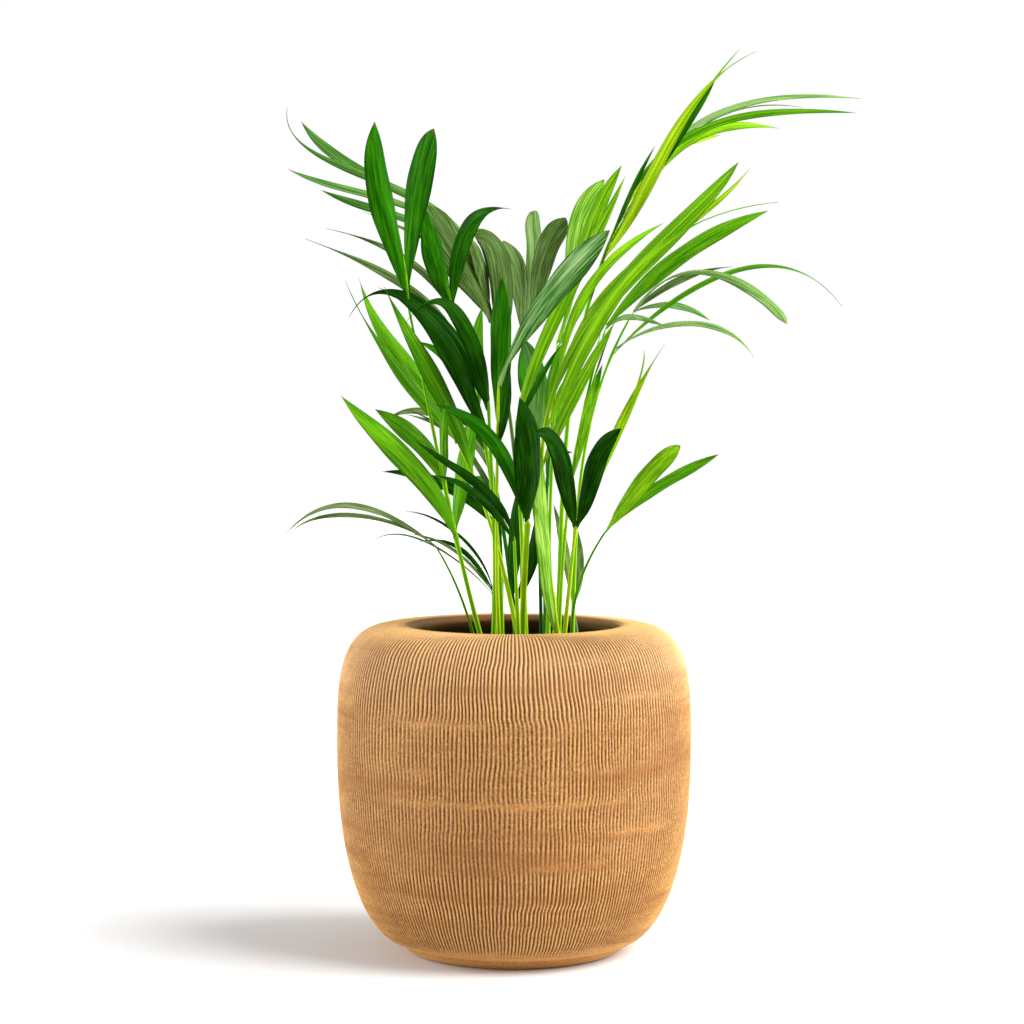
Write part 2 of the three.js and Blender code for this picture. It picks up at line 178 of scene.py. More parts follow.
# The yellow and bright looks partly stand for leaflets and stalks lit through from behind, and the deep and
# black looks partly for those in shade: painted light and shade, beside the plant's own differences in
# colour.
LOOKS = {
    "yellow": Look(paint(142, 194, 2), paint(194, 222, 34), "leaf_bright", 0.5, 0.03, 0.3, 0.6),
    "bright": Look(paint(92, 164, 4), paint(156, 210, 26), "leaf_bright", 0.5, 0.03, 0.35, 0.7),
    "pale": Look(paint(88, 158, 10), paint(180, 222, 96), "leaf_bright", 0.5, 0.03, 0.4, 0.4),
    "sage": Look(paint(88, 138, 44), paint(154, 188, 116), "leaf_grey", 0.5, 0.03, 0.35, 0.3, 0.6),
    "fresh": Look(paint(61, 131, 4), paint(108, 170, 18), "leaf_green", 0.46, 0.03, 0.3, 0.6),
    "green": Look(paint(20, 82, 0), paint(50, 122, 2), "leaf_green", 0.42, 0.02, 0.25, 0.35),
    "deep": Look(paint(12, 54, 1), paint(38, 94, 8), "leaf_deep", 0.4, 0.01, 0.2, 0.3),
    "black": Look(paint(4, 32, 1), paint(24, 72, 6), "leaf_deep", 0.4, 0.01, 0.1, 0.3),
    # The sheen look's pale streaks are a painted sheen: the gloss of the dark leaflets is painted as pale
    # colour.
    "sheen": Look(paint(34, 98, 4), paint(150, 190, 118), "leaf_deep", 0.4, 0.06, 0.15, 0.3),
    "olive": Look(paint(62, 84, 30), paint(120, 142, 84), "leaf_deep", 0.5, 0.04, 0.3, 0.3),
    "grey": Look(paint(62, 92, 30), paint(116, 144, 82), "leaf_grey", 0.5, 0.03, 0.3, 0.3),
    "moss": Look(paint(42, 102, 12), paint(110, 150, 78), "leaf_green", 0.45, 0.03, 0.3, 0.3, 0.7),
}


class Leaf(NamedTuple):
    """One leaflet. It leaves the stalk at a share of the stalk's run and ends at its tip.

    The tip is across, height and depth in millimetres, as they look from the eye. bow is how far the
    two handles of its curve lie above its run, one after a third of it and one at reach, and turn is
    how far the blade is rolled, in degrees. width is in millimetres, and a blade that LEAST_LEAN rolls
    further is made wider, so that it looks the same from the eye. The higher blunt is, the longer the
    blade keeps its width towards its tip, and below 2 the tip is drawn out into a thin tail. crest is
    where the blade is widest.
    """

    at: float
    tip: tuple
    bow: tuple
    width: float
    turn: float
    look: str
    reach: float = 2 / 3
    blunt: float = 2.2
    crest: float = 0.48


class Stalk(NamedTuple):
    """One stalk: the stem that it stands on, its foot there from the stem's middle, its head, its bow,
    its radius at each end and its look. head and bow are given like a leaflet's tip and bow.
    """

    stem: str
    foot: tuple
    head: tuple
    bow: tuple
    girth: tuple
    look: str


# Each frond: its stalk, then its leaflets. A stalk's or leaflet's look partly paints how brightly it is lit:
# painted light and shade.
FRONDS = {
    "tall_left": (
        Stalk("left", (-0.5, 0), (-62, 378, -24), (-4, -1), (1.5, 0.6), "bright"),
        Leaf(0.31, (-100, 321, -75), (17, 2), 13, 25, "fresh", blunt=1.8),
        Leaf(0.33, (-23, 316, 10), (2, 0), 11, 30, "fresh"),
        Leaf(0.42, (-80, 313, -20), (15, 9), 11, 25, "fresh", crest=0.6),
        Leaf(0.47, (-39, 317, -60), (2, 3), 8, 50, "fresh"),
        Leaf(0.98, (-80, 478, -58), (2, -7), 14, 10, "green", blunt=2.6, crest=0.62),
        Leaf(0.98, (-46, 474, -92), (5.5, 7.5), 14.5, 15, "green", blunt=3.2, crest=0.7),
        Leaf(0.95, (-64, 402, -64), (0, 1), 1.2, 10, "bright", blunt=3, crest=0.3),
    ),
    "low_left": (
        Stalk("left", (-4.5, -1), (-46, 235, -40), (3, 4), (0.9, 0.5), "fresh"),
        Leaf(0.99, (-139, 232, -85), (27, 40), 4.8, 50, "olive", 0.7, blunt=1.2),
        Leaf(0.97, (-129, 241, -60), (22, 17), 3.8, 50, "olive", 0.9, blunt=1.5),
    ),
    "low_back_left": (
        Stalk("left_back", (-2.5, 0), (-12, 209, 22), (-1, 0), (1.2, 0.8), "deep"),
        Leaf(0.97, (-62, 254, 70), (16, 12), 3, 50, "deep", 0.8),
        Leaf(0.97, (-57, 236, 50), (10, 19), 4.5, 50, "deep"),
        Leaf(0.93, (-61, 241, 30), (8, 12), 3, 50, "olive"),
        Leaf(0.9, (-84, 235, 36), (14, 23), 1.8, 50, "olive", 0.87),
    ),
    "low_front_left": (
        Stalk("front", (-2, -1), (0, 240, -36), (0, 0), (1.3, 0.8), "bright"),
        Leaf(0.98, (-57, 295, -75), (18, 4), 7, 40, "deep"),
        Leaf(0.95, (-47, 275, -95), (9, 13), 6, 40, "deep"),
    ),
    "back_left": (
        Stalk("left_back", (1, 2.5), (-10, 266, 34), (2, 2), (1.5, 1), "deep"),
        Leaf(0.73, (-76, 277, 88), (15, 12), 8, 35, "deep", 0.74),
        Leaf(0.99, (-73, 307, 100), (28, 24), 6, 35, "grey", 0.9),
        Leaf(0.91, (-62, 310, 64), (8, 20), 4, 35, "grey", 0.6),
        Leaf(0.95, (-62, 313, 70), (10, 12), 2, 35, "olive"),
    ),
    "mid_left": (
        Stalk("front", (-1, 2.5), (-34, 297, -8), (4, 8), (1.6, 0.8), "yellow"),
        Leaf(0.99, (-97, 387, -10), (-2, -9), 9, 25, "fresh", blunt=0.5, crest=0.32),
        Leaf(0.97, (-89, 388, 40), (8, -10), 12, 25, "fresh", blunt=1.5),
        Leaf(0.81, (-75, 384, -56), (10, 0), 11, 25, "fresh", blunt=1.1),
    ),
    "dark_left": (
        Stalk("left_centre", (-2, 1), (-15, 323, -26), (4, 1), (1.5, 0.8), "bright"),
        Leaf(0.82, (-78, 383, -48), (7, 24), 12, 25, "deep", blunt=1.3),
        Leaf(0.93, (-95, 366, -34), (32, 45), 13, 35, "black", 1.05, 0.7, 0.34),
        Leaf(0.96, (-63, 362, -80), (18, 47), 11, 30, "deep", 1.1, 1.0, 0.42),
    ),
    "centre_broad": (
        Stalk("left_centre", (2, -1), (-9, 330, -54), (-3, -1), (1.2, 0.7), "yellow"),
        # This leaflet's pale streaks are a painted sheen.
        Leaf(0.98, (55, 416, -110), (12, 8), 14, 15, "sheen", blunt=3, crest=0.66),
        Leaf(0.82, (-7, 389, -34), (1, 1), 12, 20, "green", blunt=3),
        Leaf(0.75, (-3, 340, -66), (-1, -2), 6, 30, "deep"),
    ),
    "upper_left": (
        Stalk("left_back", (2, -2), (-37, 376, 4), (10, 11), (1.4, 0.7), "bright"),
        Leaf(0.99, (-52, 429, -24), (-3, -1), 13.5, 25, "green"),
        Leaf(0.95, (-40, 396, -8), (0, 0), 1.1, 10, "bright", blunt=3, crest=0.3),
        Leaf(0.98, (-2, 428, -50), (14, 27), 12, 30, "green", 0.85, 1.1, 0.5),
        Leaf(0.92, (-108, 417, 30), (23, 14), 5, 30, "grey", blunt=0.8),
        Leaf(0.81, (-120, 411, 12), (26, 12), 6, 30, "grey", blunt=0.9),
    ),
    "tall_back_left": (
        Stalk("back", (2.5, 0), (-21, 398, 78), (9, 12), (1.5, 0.8), "grey"),
        Leaf(0.99, (-130, 486, 118), (34, -36), 6, 35, "moss", 0.85, 0.7),
        Leaf(0.98, (-122, 478, 142), (24, -11), 8, 35, "moss", blunt=2, crest=0.8),
        Leaf(0.96, (-130, 451, 94), (34, 2), 6, 35, "moss", crest=0.7),
        Leaf(0.92, (-111, 439, 66), (30, 4), 6, 35, "moss", crest=0.7),
        Leaf(0.84, (-51, 430, 58), (4, 1), 20, 20, "grey", blunt=4, crest=0.6),
        Leaf(0.88, (-26, 412, 66), (2, 3), 8, 20, "grey", blunt=3.5),
        Leaf(0.93, (-87, 427, 60), (12, 4), 3, 35, "grey"),
        Leaf(0.75, (-24, 415, 78), (10, 22), 17, 25, "grey", 0.94, 5, 0.6),
    ),
    "back_centre": (
        Stalk("back_right", (-2, 1), (5, 359, 72), (3, 4), (1.1, 0.7), "deep"),
        Leaf(0.97, (-6, 410, 132), (3, 10), 13, 25, "grey", blunt=5, crest=0.6),
        Leaf(0.98, (9, 426, 140), (-4, -5), 12, 20, "sage", blunt=10, crest=0.75),
        Leaf(0.98, (30, 423, 104), (-2, 12), 14, 25, "grey", blunt=5, crest=0.72),
    ),
    "back_right": (
        Stalk("back_right", (2, -1), (25, 353, 42), (2, 1), (1.4, 0.7), "bright"),
        Leaf(0.99, (52, 445, 108), (-6, 20), 12, 25, "pale", blunt=4, crest=0.7),
        Leaf(0.99, (62, 453, 62), (1, 11), 10, 25, "bright", crest=0.7),
        Leaf(0.97, (50, 388, 50), (1, 2), 4, 25, "pale"),
    ),
    "centre_bright": (
        Stalk("centre", (1, 2), (1, 307, 4), (1, 0), (1.5, 0.8), "bright"),
        Leaf(0.98, (64, 447, 16), (12, 2), 9, 20, "bright"),
        Leaf(0.79, (5, 354, 54), (-8, -13), 13, 25, "moss", blunt=3.5),
        Leaf(0.97, (29, 352, 34), (2, 3), 4, 25, "green"),
    ),
    "tall_right": (
        Stalk("right", (1, 2), (61, 423, 26), (8, 25), (1.7, 0.7), "bright"),
        Leaf(0.9, (139, 518, 6), (1, 25), 8, 20, "yellow", 0.72, 0.8, 0.34),
        Leaf(0.93, (116, 504, 12), (0, -2), 4, 30, "green", blunt=3, crest=0.75),
        Leaf(0.99, (199, 491, 68), (46, 34), 4.4, 40, "sage", blunt=2.6),
        Leaf(0.96, (196, 483, 18), (52, 31), 6.4, 40, "fresh", blunt=3, crest=0.6),
        Leaf(0.98, (166, 486, 102), (20, 38), 1.6, 50, "grey", blunt=5),
        Leaf(0.94, (152, 474, 42), (17, 43), 8, 40, "bright", blunt=1.8, crest=0.8),
        Leaf(0.92, (118, 470, 72), (10, 29), 7, 40, "yellow", crest=0.86),
        Leaf(0.97, (129, 519, 10), (0, 6), 1.5, 20, "bright", blunt=6),
        Leaf(0.94, (81, 464, 20), (1, 2), 3, 20, "green"),
        Leaf(0.78, (58, 418, 20), (0, 1), 1.5, 0, "olive"),
    ),
    "mid_right": (
        Stalk("right_front", (-1, 2), (33, 347, -36), (7, 28), (1.9, 0.8), "yellow"),
        Leaf(0.78, (129, 455, -76), (28, 3), 11, 20, "bright", blunt=3.2, crest=0.6),
        Leaf(0.97, (136, 452, -40), (28, -5), 5, 30, "yellow", blunt=1.8, crest=0.7),
        Leaf(0.72, (152, 432, -108), (28, 52), 10, 35, "bright", blunt=0.5, crest=0.32),
        Leaf(0.91, (86, 420, -14), (20, 20), 7, 35, "bright", blunt=3),
        Leaf(0.6, (58, 363, -70), (4, 3), 7, 20, "bright"),
        Leaf(0.77, (33, 358, 2), (5, 5), 7, 20, "fresh"),
        Leaf(0.17, (16, 292, -36), (-1, -6), 8.5, 15, "pale"),
        Leaf(0.04, (12, 258, -44), (-2, 3), 7.8, 15, "pale", blunt=3, crest=0.55),
    ),
    "right": (
        Stalk("right", (2, -2), (54, 363, 6), (8, 11), (1.2, 0.6), "bright"),
        Leaf(0.99, (146, 427, -16), (12, 12), 10.5, 25, "fresh", blunt=3),
        Leaf(0.98, (87, 361, 8), (13, 5), 5.5, 50, "sage"),
        Leaf(0.58, (48, 336, 0), (1, 1), 3.6, 20, "bright"),
        Leaf(0.75, (56, 358, 0), (0, 1), 1.2, 20, "olive"),
        Leaf(0.5, (51, 331, -6), (1, 2), 3.6, 20, "bright"),
        Leaf(0.6, (51, 362, 4), (0, 1), 1.4, 0, "fresh"),
    ),
    "low_right": (
        Stalk("right_back", (-2, 0), (70, 371, 24), (10, 25), (1.3, 0.6), "bright"),
        Leaf(0.85, (189, 372, 50), (34, 55), 5, 50, "fresh", 0.82, 0.9, 0.4),
        Leaf(0.99, (157, 362, -18), (54, 10), 10, 40, "sage", 0.97, 2.2, 0.8),
        Leaf(0.99, (126, 395, 40), (8, 8), 6, 45, "grey", blunt=1.2, crest=0.4),
        Leaf(0.99, (113, 364, 66), (9, 9), 6, 50, "moss"),
        Leaf(0.87, (138, 343, 6), (24, 25), 5.4, 45, "sage", 0.82, 1.7, 0.62),
        Leaf(0.62, (51, 339, 36), (2, 2), 4.5, 25, "fresh"),
    ),
    "front_right": (
        Stalk("right_front", (2, -1), (36, 250, -30), (0, 0), (1.4, 0.9), "yellow"),
        Leaf(0.93, (12, 299, -100), (5, 18), 12, 25, "deep", 0.94, 4),
        Leaf(0.93, (62, 302, -74), (2, 13), 11.5, 25, "deep", blunt=3.2),
        Leaf(0.88, (87, 351, -12), (4, 6), 6.3, 30, "yellow", blunt=0.8, crest=0.55),
        Leaf(0.9, (75, 347, -14), (-1, -8), 1.6, 30, "yellow", 0.85, 5),
    ),
    "front_centre": (
        Stalk("centre", (-1, -2), (8, 250, -30), (1, 1), (1.9, 1.8), "yellow"),
        Leaf(0.98, (3, 320, -98), (5, 6), 16, 15, "deep"),
        Leaf(0.95, (-46, 316, -75), (15, 23), 9, 25, "green"),
    ),
    "back_low": (
        Stalk("back", (-2, -3), (-1, 203, 14), (1, 1), (1.3, 0.9), "deep"),
        Leaf(0.96, (4, 273, 10), (3, 1), 9, 25, "deep"),
        Leaf(0.85, (16, 261, 15), (-4, -3), 8, 25, "deep"),
    ),
    "near_right": (
        Stalk("far_right", (-4, -2), (54, 244, -26), (10, 8), (1.0, 0.6), "fresh"),
        Leaf(0.99, (96, 292, -78), (3, 5), 10, 25, "bright", blunt=5),
        Leaf(0.97, (118, 287, -48), (9, 4), 7, 35, "fresh", blunt=3.2),
    ),
    "low_back_right": (
        Stalk("right_back", (1.5, 3), (34, 200, 26), (0, 0), (1.2, 0.9), "grey"),
        Leaf(0.96, (23, 258, 62), (3, 2), 6, 30, "grey"),
        Leaf(0.96, (36, 246, 88), (-4, -3), 6, 30, "grey"),
    ),
    "far_back_left": (
        Stalk("back", (-1.5, 3), (-22, 312, 96), (4, 6), (1.6, 0.8), "green"),
        Leaf(0.98, (-56, 352, 172), (8, 14), 9, 40, "green"),
        Leaf(0.98, (-18, 372, 184), (2, 6), 11, 30, "fresh"),
        Leaf(0.8, (-44, 308, 160), (8, 16), 8, 45, "deep"),
        Leaf(0.62, (-30, 268, 142), (6, 12), 8, 45, "green"),
    ),
    "far_back_right": (
        Stalk("back_right", (1, 2.5), (22, 300, 100), (2, 4), (1.6, 0.8), "green"),
        Leaf(0.98, (46, 338, 178), (6, 14), 10, 35, "fresh"),
        Leaf(0.98, (6, 352, 168), (-4, -8), 11, 30, "green"),
        Leaf(0.76, (34, 288, 158), (4, 14), 8, 45, "deep"),
    ),
}


def smooth(low, high, value):
    """Eases from 0 at low to 1 at high, for a number or an array."""
    share = np.clip((value - low) / (high - low), 0, 1)
    return share * share * (3 - 2 * share)


def unit(rows):
    """Each row of vectors at length one."""
    return rows / np.linalg.norm(rows, axis=-1, keepdims=True)


def stand(seen):
    """From how points look in the plane through the pot's axis, with their depth, to where they are."""
    share = (seen[..., 1:2] - EYE[1]) / -EYE[1]
    return (seen * (1, 0, 1) - EYE) * share + EYE


def as_seen(real):
    """The other way round, for one point."""
    share = (real[1] - EYE[1]) / -EYE[1]
    seen = (real - EYE) / share + EYE
    seen[1] = real[1]
    return seen


def place(across_height_depth):
    """A place given as across, height and depth, in the order of the axes."""
    across, height, depth = across_height_depth
    return np.array((across, depth, height), float)


def arch(start, end, bow, reach):
    """The four handles of a stalk's or leaflet's arched line, as it looks from the eye."""
    run = end - start
    length = math.hypot(run[0], run[2])
    outwards = -1 if run[0] < 0 else 1
    rise = np.array((-run[2], 0, run[0])) * outwards / length
    return (start, start + run / 3 + rise * bow[0], start + run * reach + rise * bow[1], end)


def along_arch(handles, share):
    """The points of a cubic curve at one or many shares of its run."""
    share = np.asarray(share, float)[..., None]
    rest = 1 - share
    start, first, second, end = handles
    return rest**3 * start + 3 * rest**2 * share * first + 3 * rest * share**2 * second + share**3 * end


def frames(handles, share, roll):
    """Real points along a curve, with the directions across and through a blade rolled about it."""
    near = 0.01
    points = stand(along_arch(handles, share))
    ahead = stand(along_arch(handles, np.minimum(share + near, 1)))
    behind = stand(along_arch(handles, np.maximum(share - near, 0)))
    along = unit(ahead - behind)
    flat = unit(np.cross(VIEW, along))
    roll = np.broadcast_to(roll, share.shape)[:, None]
    across = flat * np.cos(roll) + np.cross(along, flat) * np.sin(roll)
    return points, across, np.cross(across, along)


def stalk_handles(stalk):
    """A stalk's line from its foot on the stem to its head."""
    across, depth = STEMS[stalk.stem]
    foot = np.array((across + stalk.foot[0], depth + stalk.foot[1], STEM_TOP))
    return arch(as_seen(foot), place(stalk.head), stalk.bow, 2 / 3)


class Bundle:
    """Collects small closed shapes, each a row of rings, into one joined mesh."""

    def __init__(self):
        self.points = []
        self.faces = []
        self.places = []
        self.tones = []
        self.breadths = []
        self.count = 0

    def add(self, rings, places, tone, breadth=0.0):
        """Rings of corners in millimetres, each corner with its place on the shape, a tone for the
        whole shape, and each ring's breadth.
        """
        rows, sides = rings.shape[:2]
        index = self.count + np.arange(rows * sides).reshape(rows, sides)
        ahead = np.roll(index, -1, axis=1)
        quads = np.stack((index[:-1], ahead[:-1], ahead[1:], index[1:]), axis=-1)
        self.points.append(rings.reshape(-1, 3) * MM)
        self.faces += quads.reshape(-1, 4).tolist()
        self.faces += [index[0][::-1].tolist(), index[-1].tolist()]
        self.places.append(places.reshape(-1, 2))
        self.tones.append(np.full(rows * sides, tone))
        self.breadths.append(np.repeat(np.broadcast_to(breadth, rows), sides))
        self.count += rows * sides

    def piece(self, name):
        """The joined object, with a UV map for the places and attributes for the other values."""
        mesh = bpy.data.meshes.new(name)
        mesh.from_pydata(np.concatenate(self.points).tolist(), [], self.faces)
        mesh.update()
        corners = np.empty(len(mesh.loops), dtype=np.int32)
        mesh.loops.foreach_get("vertex_index", corners)
        spread = mesh.uv_layers.new(name="blade")
        spread.uv.foreach_set("vector", np.concatenate(self.places)[corners].astype(np.float32).ravel())
        piece = shown(name, mesh)
        point_values(piece, "tone", np.concatenate(self.tones))
        point_values(piece, "breadth", np.concatenate(self.breadths))
        return piece


def shown(name, mesh):
    """Puts a smooth-shaded mesh into the scene as an object."""
    mesh.polygons.foreach_set("use_smooth", np.ones(len(mesh.polygons), dtype=bool))
    piece = bpy.data.objects.new(name, mesh)
    bpy.context.collection.objects.link(piece)
    return piece


def clear_selection():
    for piece in bpy.context.selected_objects:
        piece.select_set(False)


def turned_piece(name, profile, columns, sectors=1):
    """A closed profile of radius and height in millimetres, drawn point by point and spun round.

    Many columns are spun as one sector, which is then repeated round the axis.
    """
    clear_selection()
    (radius, height), *rest = profile
    bpy.ops.mesh.primitive_plane_add(size=MM, location=(radius * MM, 0, height * MM))
    piece = bpy.context.object
    piece.name = piece.data.name = name
    bpy.ops.object.mode_set(mode="EDIT")
    bpy.ops.mesh.select_all(action="SELECT")
    bpy.ops.mesh.merge(type="CENTER")
    for next_radius, next_height in rest:
        step = ((next_radius - radius) * MM, 0, (next_height - height) * MM)
        bpy.ops.mesh.extrude_region_move(TRANSFORM_OT_translate={"value": step})
        radius, height = next_radius, next_height
    bpy.ops.mesh.select_all(action="SELECT")
    around = {"center": (0, 0, 0), "axis": (0, 0, 1)}
    bpy.ops.mesh.spin(steps=columns // sectors, angle=math.tau / sectors, **around)
    if sectors > 1:
        bpy.ops.mesh.select_all(action="SELECT")
        turn = math.tau * (sectors - 1) / sectors
        bpy.ops.mesh.spin(steps=sectors - 1, angle=turn, dupli=True, **around)
    bpy.ops.mesh.select_all(action="SELECT")
    bpy.ops.mesh.remove_doubles(threshold=0.01 * MM)
    bpy.ops.mesh.normals_make_consistent(inside=False)
    bpy.ops.object.mode_set(mode="OBJECT")
    bpy.ops.object.transform_apply(location=True, rotation=True, scale=True)
    bpy.ops.object.shade_smooth()
    return piece


def corner_vectors(piece, name):
    """A vector that each corner has, such as its normal."""
    vectors = np.empty(len(piece.data.vertices) * 3, dtype=np.float32)
    piece.data.vertices.foreach_get(name, vectors)
    return vectors.reshape(-1, 3).astype(float)


def corners_of(piece):
    """The piece's corners in millimetres."""
    return corner_vectors(piece, "co") / MM


def move_corners(piece, corners):
    piece.data.vertices.foreach_set("co", (corners * MM).astype(np.float32).ravel())
    piece.data.update()


def point_values(piece, name, values):
    """A number kept on each corner, for the finish to read."""
    kept = piece.data.attributes.new(name, "FLOAT", "POINT")
    kept.data.foreach_set("value", np.asarray(values, np.float32))


def dress(piece, slot, finish, *nodes):
    """Gives a piece its material, the body it rides on and the nodes that it stands for; its slot is not
    used.
    """
    piece.data.materials.clear()
    piece.data.materials.append(finish)
    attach(piece, ROOT)
    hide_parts(*nodes)


class Number:
    """A shader socket in a plain expression: every sum, product or power adds its Math node."""

    def __init__(self, finish, socket):
        self.finish = finish
        self.socket = socket

    def result(self, operation, first, second=0.0, clamp=False):
        settings = {"operation": operation, "use_clamp": clamp}
        return self.finish.number("ShaderNodeMath", settings, {0: first, 1: second})

    def __add__(self, other):
        return self.result("ADD", self, other)

    def __sub__(self, other):
        return self.result("SUBTRACT", self, other)

    def __rsub__(self, other):
        return self.result("SUBTRACT", other, self)

    def __mul__(self, other):
        return self.result("MULTIPLY", self, other)

    def __pow__(self, other):
        return self.result("POWER", self, other)

    __radd__ = __add__

    def sine(self):
        return self.result("SINE", self)

    def size(self):
        return self.result("ABSOLUTE", self)

    def eased(self, low, high):
        """From 0 at low to 1 at high, or the other way round where low is the larger."""
        return self.result("ADD", (self - low) * (1 / (high - low)), 0.0, clamp=True)


class Finish:
    """A material whose nodes are added one by one."""

    def __init__(self, name, **constants):
        self.material = bpy.data.materials.new(name)
        self.material.use_nodes = True
        self.shader = self.material.node_tree.nodes["Principled BSDF"]
        for socket, value in constants.items():
            self.shader.inputs[socket.replace("_", " ")].default_value = value

    def node(self, kind, settings=None, values=None):
        """Adds a node: its settings first, then the values or links of its sockets."""
        node = self.material.node_tree.nodes.new(kind)
        for name, value in (settings or {}).items():
            setattr(node, name, value)
        for socket, value in (values or {}).items():
            self.feed(node.inputs[socket], value)
        return node

    def feed(self, socket, value):
        if isinstance(value, Number):
            value = value.socket
        if isinstance(value, bpy.types.NodeSocket):
            self.material.node_tree.links.new(value, socket)
        else:
            socket.default_value = value

    def number(self, kind, settings=None, values=None, output=0):
        return Number(self, self.node(kind, settings, values).outputs[output])

    def mixed(self, share, first, second, blend="MIX"):
        """Two colours mixed by a share, or one laid over the other by a blend."""
        settings = {"data_type": "RGBA", "blend_type": blend, "clamp_factor": True}
        return self.node("ShaderNodeMix", settings, {0: share, 6: first, 7: second}).outputs[2]

    def noise(self, where, scale, detail=2.0, roughness=0.5):
        """Even noise from 0 to 1 at the places where, which the scale is multiplied with."""
        values = {"Vector": where, "Scale": scale, "Detail": detail, "Roughness": roughness}
        return self.number("ShaderNodeTexNoise", None, values)

    def grain(self, scale, stretch=(1, 1, 1), detail=3.0, roughness=0.5):
        """Noise in the piece's own place, in metres."""
        where = self.node("ShaderNodeTexCoord").outputs["Object"]
        settings = {"vector_type": "POINT"}
        moved = self.node("ShaderNodeMapping", settings, {"Vector": where, "Scale": stretch})
        return self.noise(moved.outputs[0], scale, detail, roughness)

    def streaks(self, side, along, tone):
        """Noise drawn out along a leaflet, from scaled places across and along it."""
        where = self.node("ShaderNodeCombineXYZ", None, {0: side, 1: along, 2: tone})
        return self.noise(where.outputs[0], 1.0)

    def kept(self, name):
        """A number that the mesh keeps on its corners."""
        settings = {"attribute_type": "GEOMETRY", "attribute_name": name}
        return self.number("ShaderNodeAttribute", settings, None, "Fac")

    def spread(self):
        """The place on a leaflet or stalk: across it, and along it from root to tip."""
        both = self.node("ShaderNodeUVMap", {"uv_map": "blade"}).outputs[0]
        split = self.node("ShaderNodeSeparateXYZ", None, {0: both})
        return Number(self, split.outputs[0]), Number(self, split.outputs[1])

    def surface(self, colour, roughness, height, depth):
        """Joins the colour, the roughness and the fine relief to the shader."""
        relief = self.node("ShaderNodeBump", None, {"Strength": 1.0, "Distance": depth, "Height": height})
        self.feed(self.shader.inputs["Base Color"], colour)
        self.feed(self.shader.inputs["Roughness"], roughness)
        self.feed(self.shader.inputs["Normal"], relief.outputs[0])
        return self.material


def swatch(name, colour, note):
    return bpy.props.FloatVectorProperty(
        name=name, description=note, default=colour, size=4, min=0, max=1, subtype="COLOR"
    )


def millimetres(name, value, note):
    return bpy.props.FloatProperty(
        name=name, description=note, default=value * MM, unit="LENGTH", precision=4
    )


def degrees(name, value, note):
    return bpy.props.FloatProperty(
        name=name, description=note, default=math.radians(value), subtype="ANGLE"
    )


def amount(name, value, note):
    return bpy.props.FloatProperty(name=name, description=note, default=value, min=0)


class PotSettings(bpy.types.PropertyGroup):
    """The combed clay pot."""

    grooves: bpy.props.IntProperty(name="Grooves", description="Grooves combed round the pot", default=270)
    comb_depth: millimetres("Comb depth", 0.9, "How deep a groove is below its ridges")
    ridge: swatch("Ridge", paint(238, 184, 112), "Dry clay on top of the ridges")
    # The groove colour is partly painted shade: it darkens the clay down in the grooves, where shade falls.
    groove: swatch("Groove", paint(76, 32, 6), "Darker clay down in the grooves")
    plain: swatch("Plain clay", paint(220, 162, 92), "Clay that wasn't combed, at the foot and lip")
    stain: swatch("Stain", paint(146, 90, 42), "Darker clay in the uneven bands round the pot")
    # Partly a painted highlight: the shoulder's ridges are paler where the light from above falls on them.
    dust_and_highlight: swatch("Dust", paint(246, 212, 164), "Pale dry dust on the shoulder")
    bloom: swatch("Bloom", paint(252, 216, 128), "Warm sheen of the clay where it turns away")
    inside: swatch("Inside", paint(88, 60, 34), "Damp clay inside the mouth")


class PlantSettings(bpy.types.PropertyGroup):
    """The soil, stems and leaflets."""

    leaf_thickness: millimetres("Leaflet thickness", 0.5, "Thickness of a leaflet at its midrib")
    leaf_row: millimetres("Leaflet row", 3.0, "Length of leaflet between two rows of its mesh")
    fold: degrees("Fold", 20, "How far the two halves of a leaflet bend back from its midrib")
    twist: degrees("Twist", 34, "Most that a leaflet turns about itself from root to tip")
    soil: swatch("Soil", paint(38, 28, 20), "Damp potting soil")
    bark: swatch("Bark", paint(78, 52, 34), "Bits of bark in the soil")
    sheath: swatch("Sheath", paint(150, 158, 78), "Papery sheath round each stem")
    scar: swatch("Scar", paint(112, 92, 48), "Brown foot and rings of each stem")
    dry: swatch("Dry tip", paint(112, 80, 40), "Dried end of a leaflet")


class StudioSettings(bpy.types.PropertyGroup):
    """The floor, the lights and the sky round the plant."""

    floor: swatch("Floor", paint(228, 228, 228), "Plain pale floor")
    sky: amount("Sky", 0.46, "Strength of the even light from above")
    wall: amount("Wall", 1.0, "Brightness of the white wall all round")
    key: amount("Key light", 5.6, "Soft light from the right")
    side: amount("Side light", 3.2, "Weaker light from the left")
    edge: amount("Edge light", 1.3, "Weak light along the right edge")


def quarter(narrow, wide, start, end, fullness):
    """A quarter of a squared ellipse between two radii and two heights, from its narrow end."""
    steps = 60
    angle = np.linspace(0, math.pi / 2, steps + 1)
    radius = narrow + (wide - narrow) * np.sin(angle) ** (2 / fullness[0])
    height = end - (end - start) * np.clip(np.cos(angle), 0, 1) ** (2 / fullness[1])
    return list(zip(radius.tolist(), height.tolist()))


def evenly(profile, step):
    """The same outline with its points an even distance apart."""
    points = np.array(profile)
    run = np.concatenate(((0,), np.cumsum(np.linalg.norm(np.diff(points, axis=0), axis=1))))
    wanted = np.linspace(0, run[-1], max(2, round(run[-1] / step) + 1))
    radius = np.interp(wanted, run, points[:, 0])
    height = np.interp(wanted, run, points[:, 1])
    return list(zip(radius.tolist(), height.tolist()))


def inner_wall():
    """The pot's inner face from the floor up to the neck under the lip."""
    inner = BELLY_RADIUS - WALL
    lower = quarter(FOOT_RADIUS - WALL, inner, FLOOR, BELLY_HEIGHT, LOWER_FULLNESS)
    upper = quarter(MOUTH_RADIUS, inner, POT_HEIGHT - WALL, BELLY_HEIGHT, UPPER_FULLNESS)
    return lower + upper[::-1][1:]


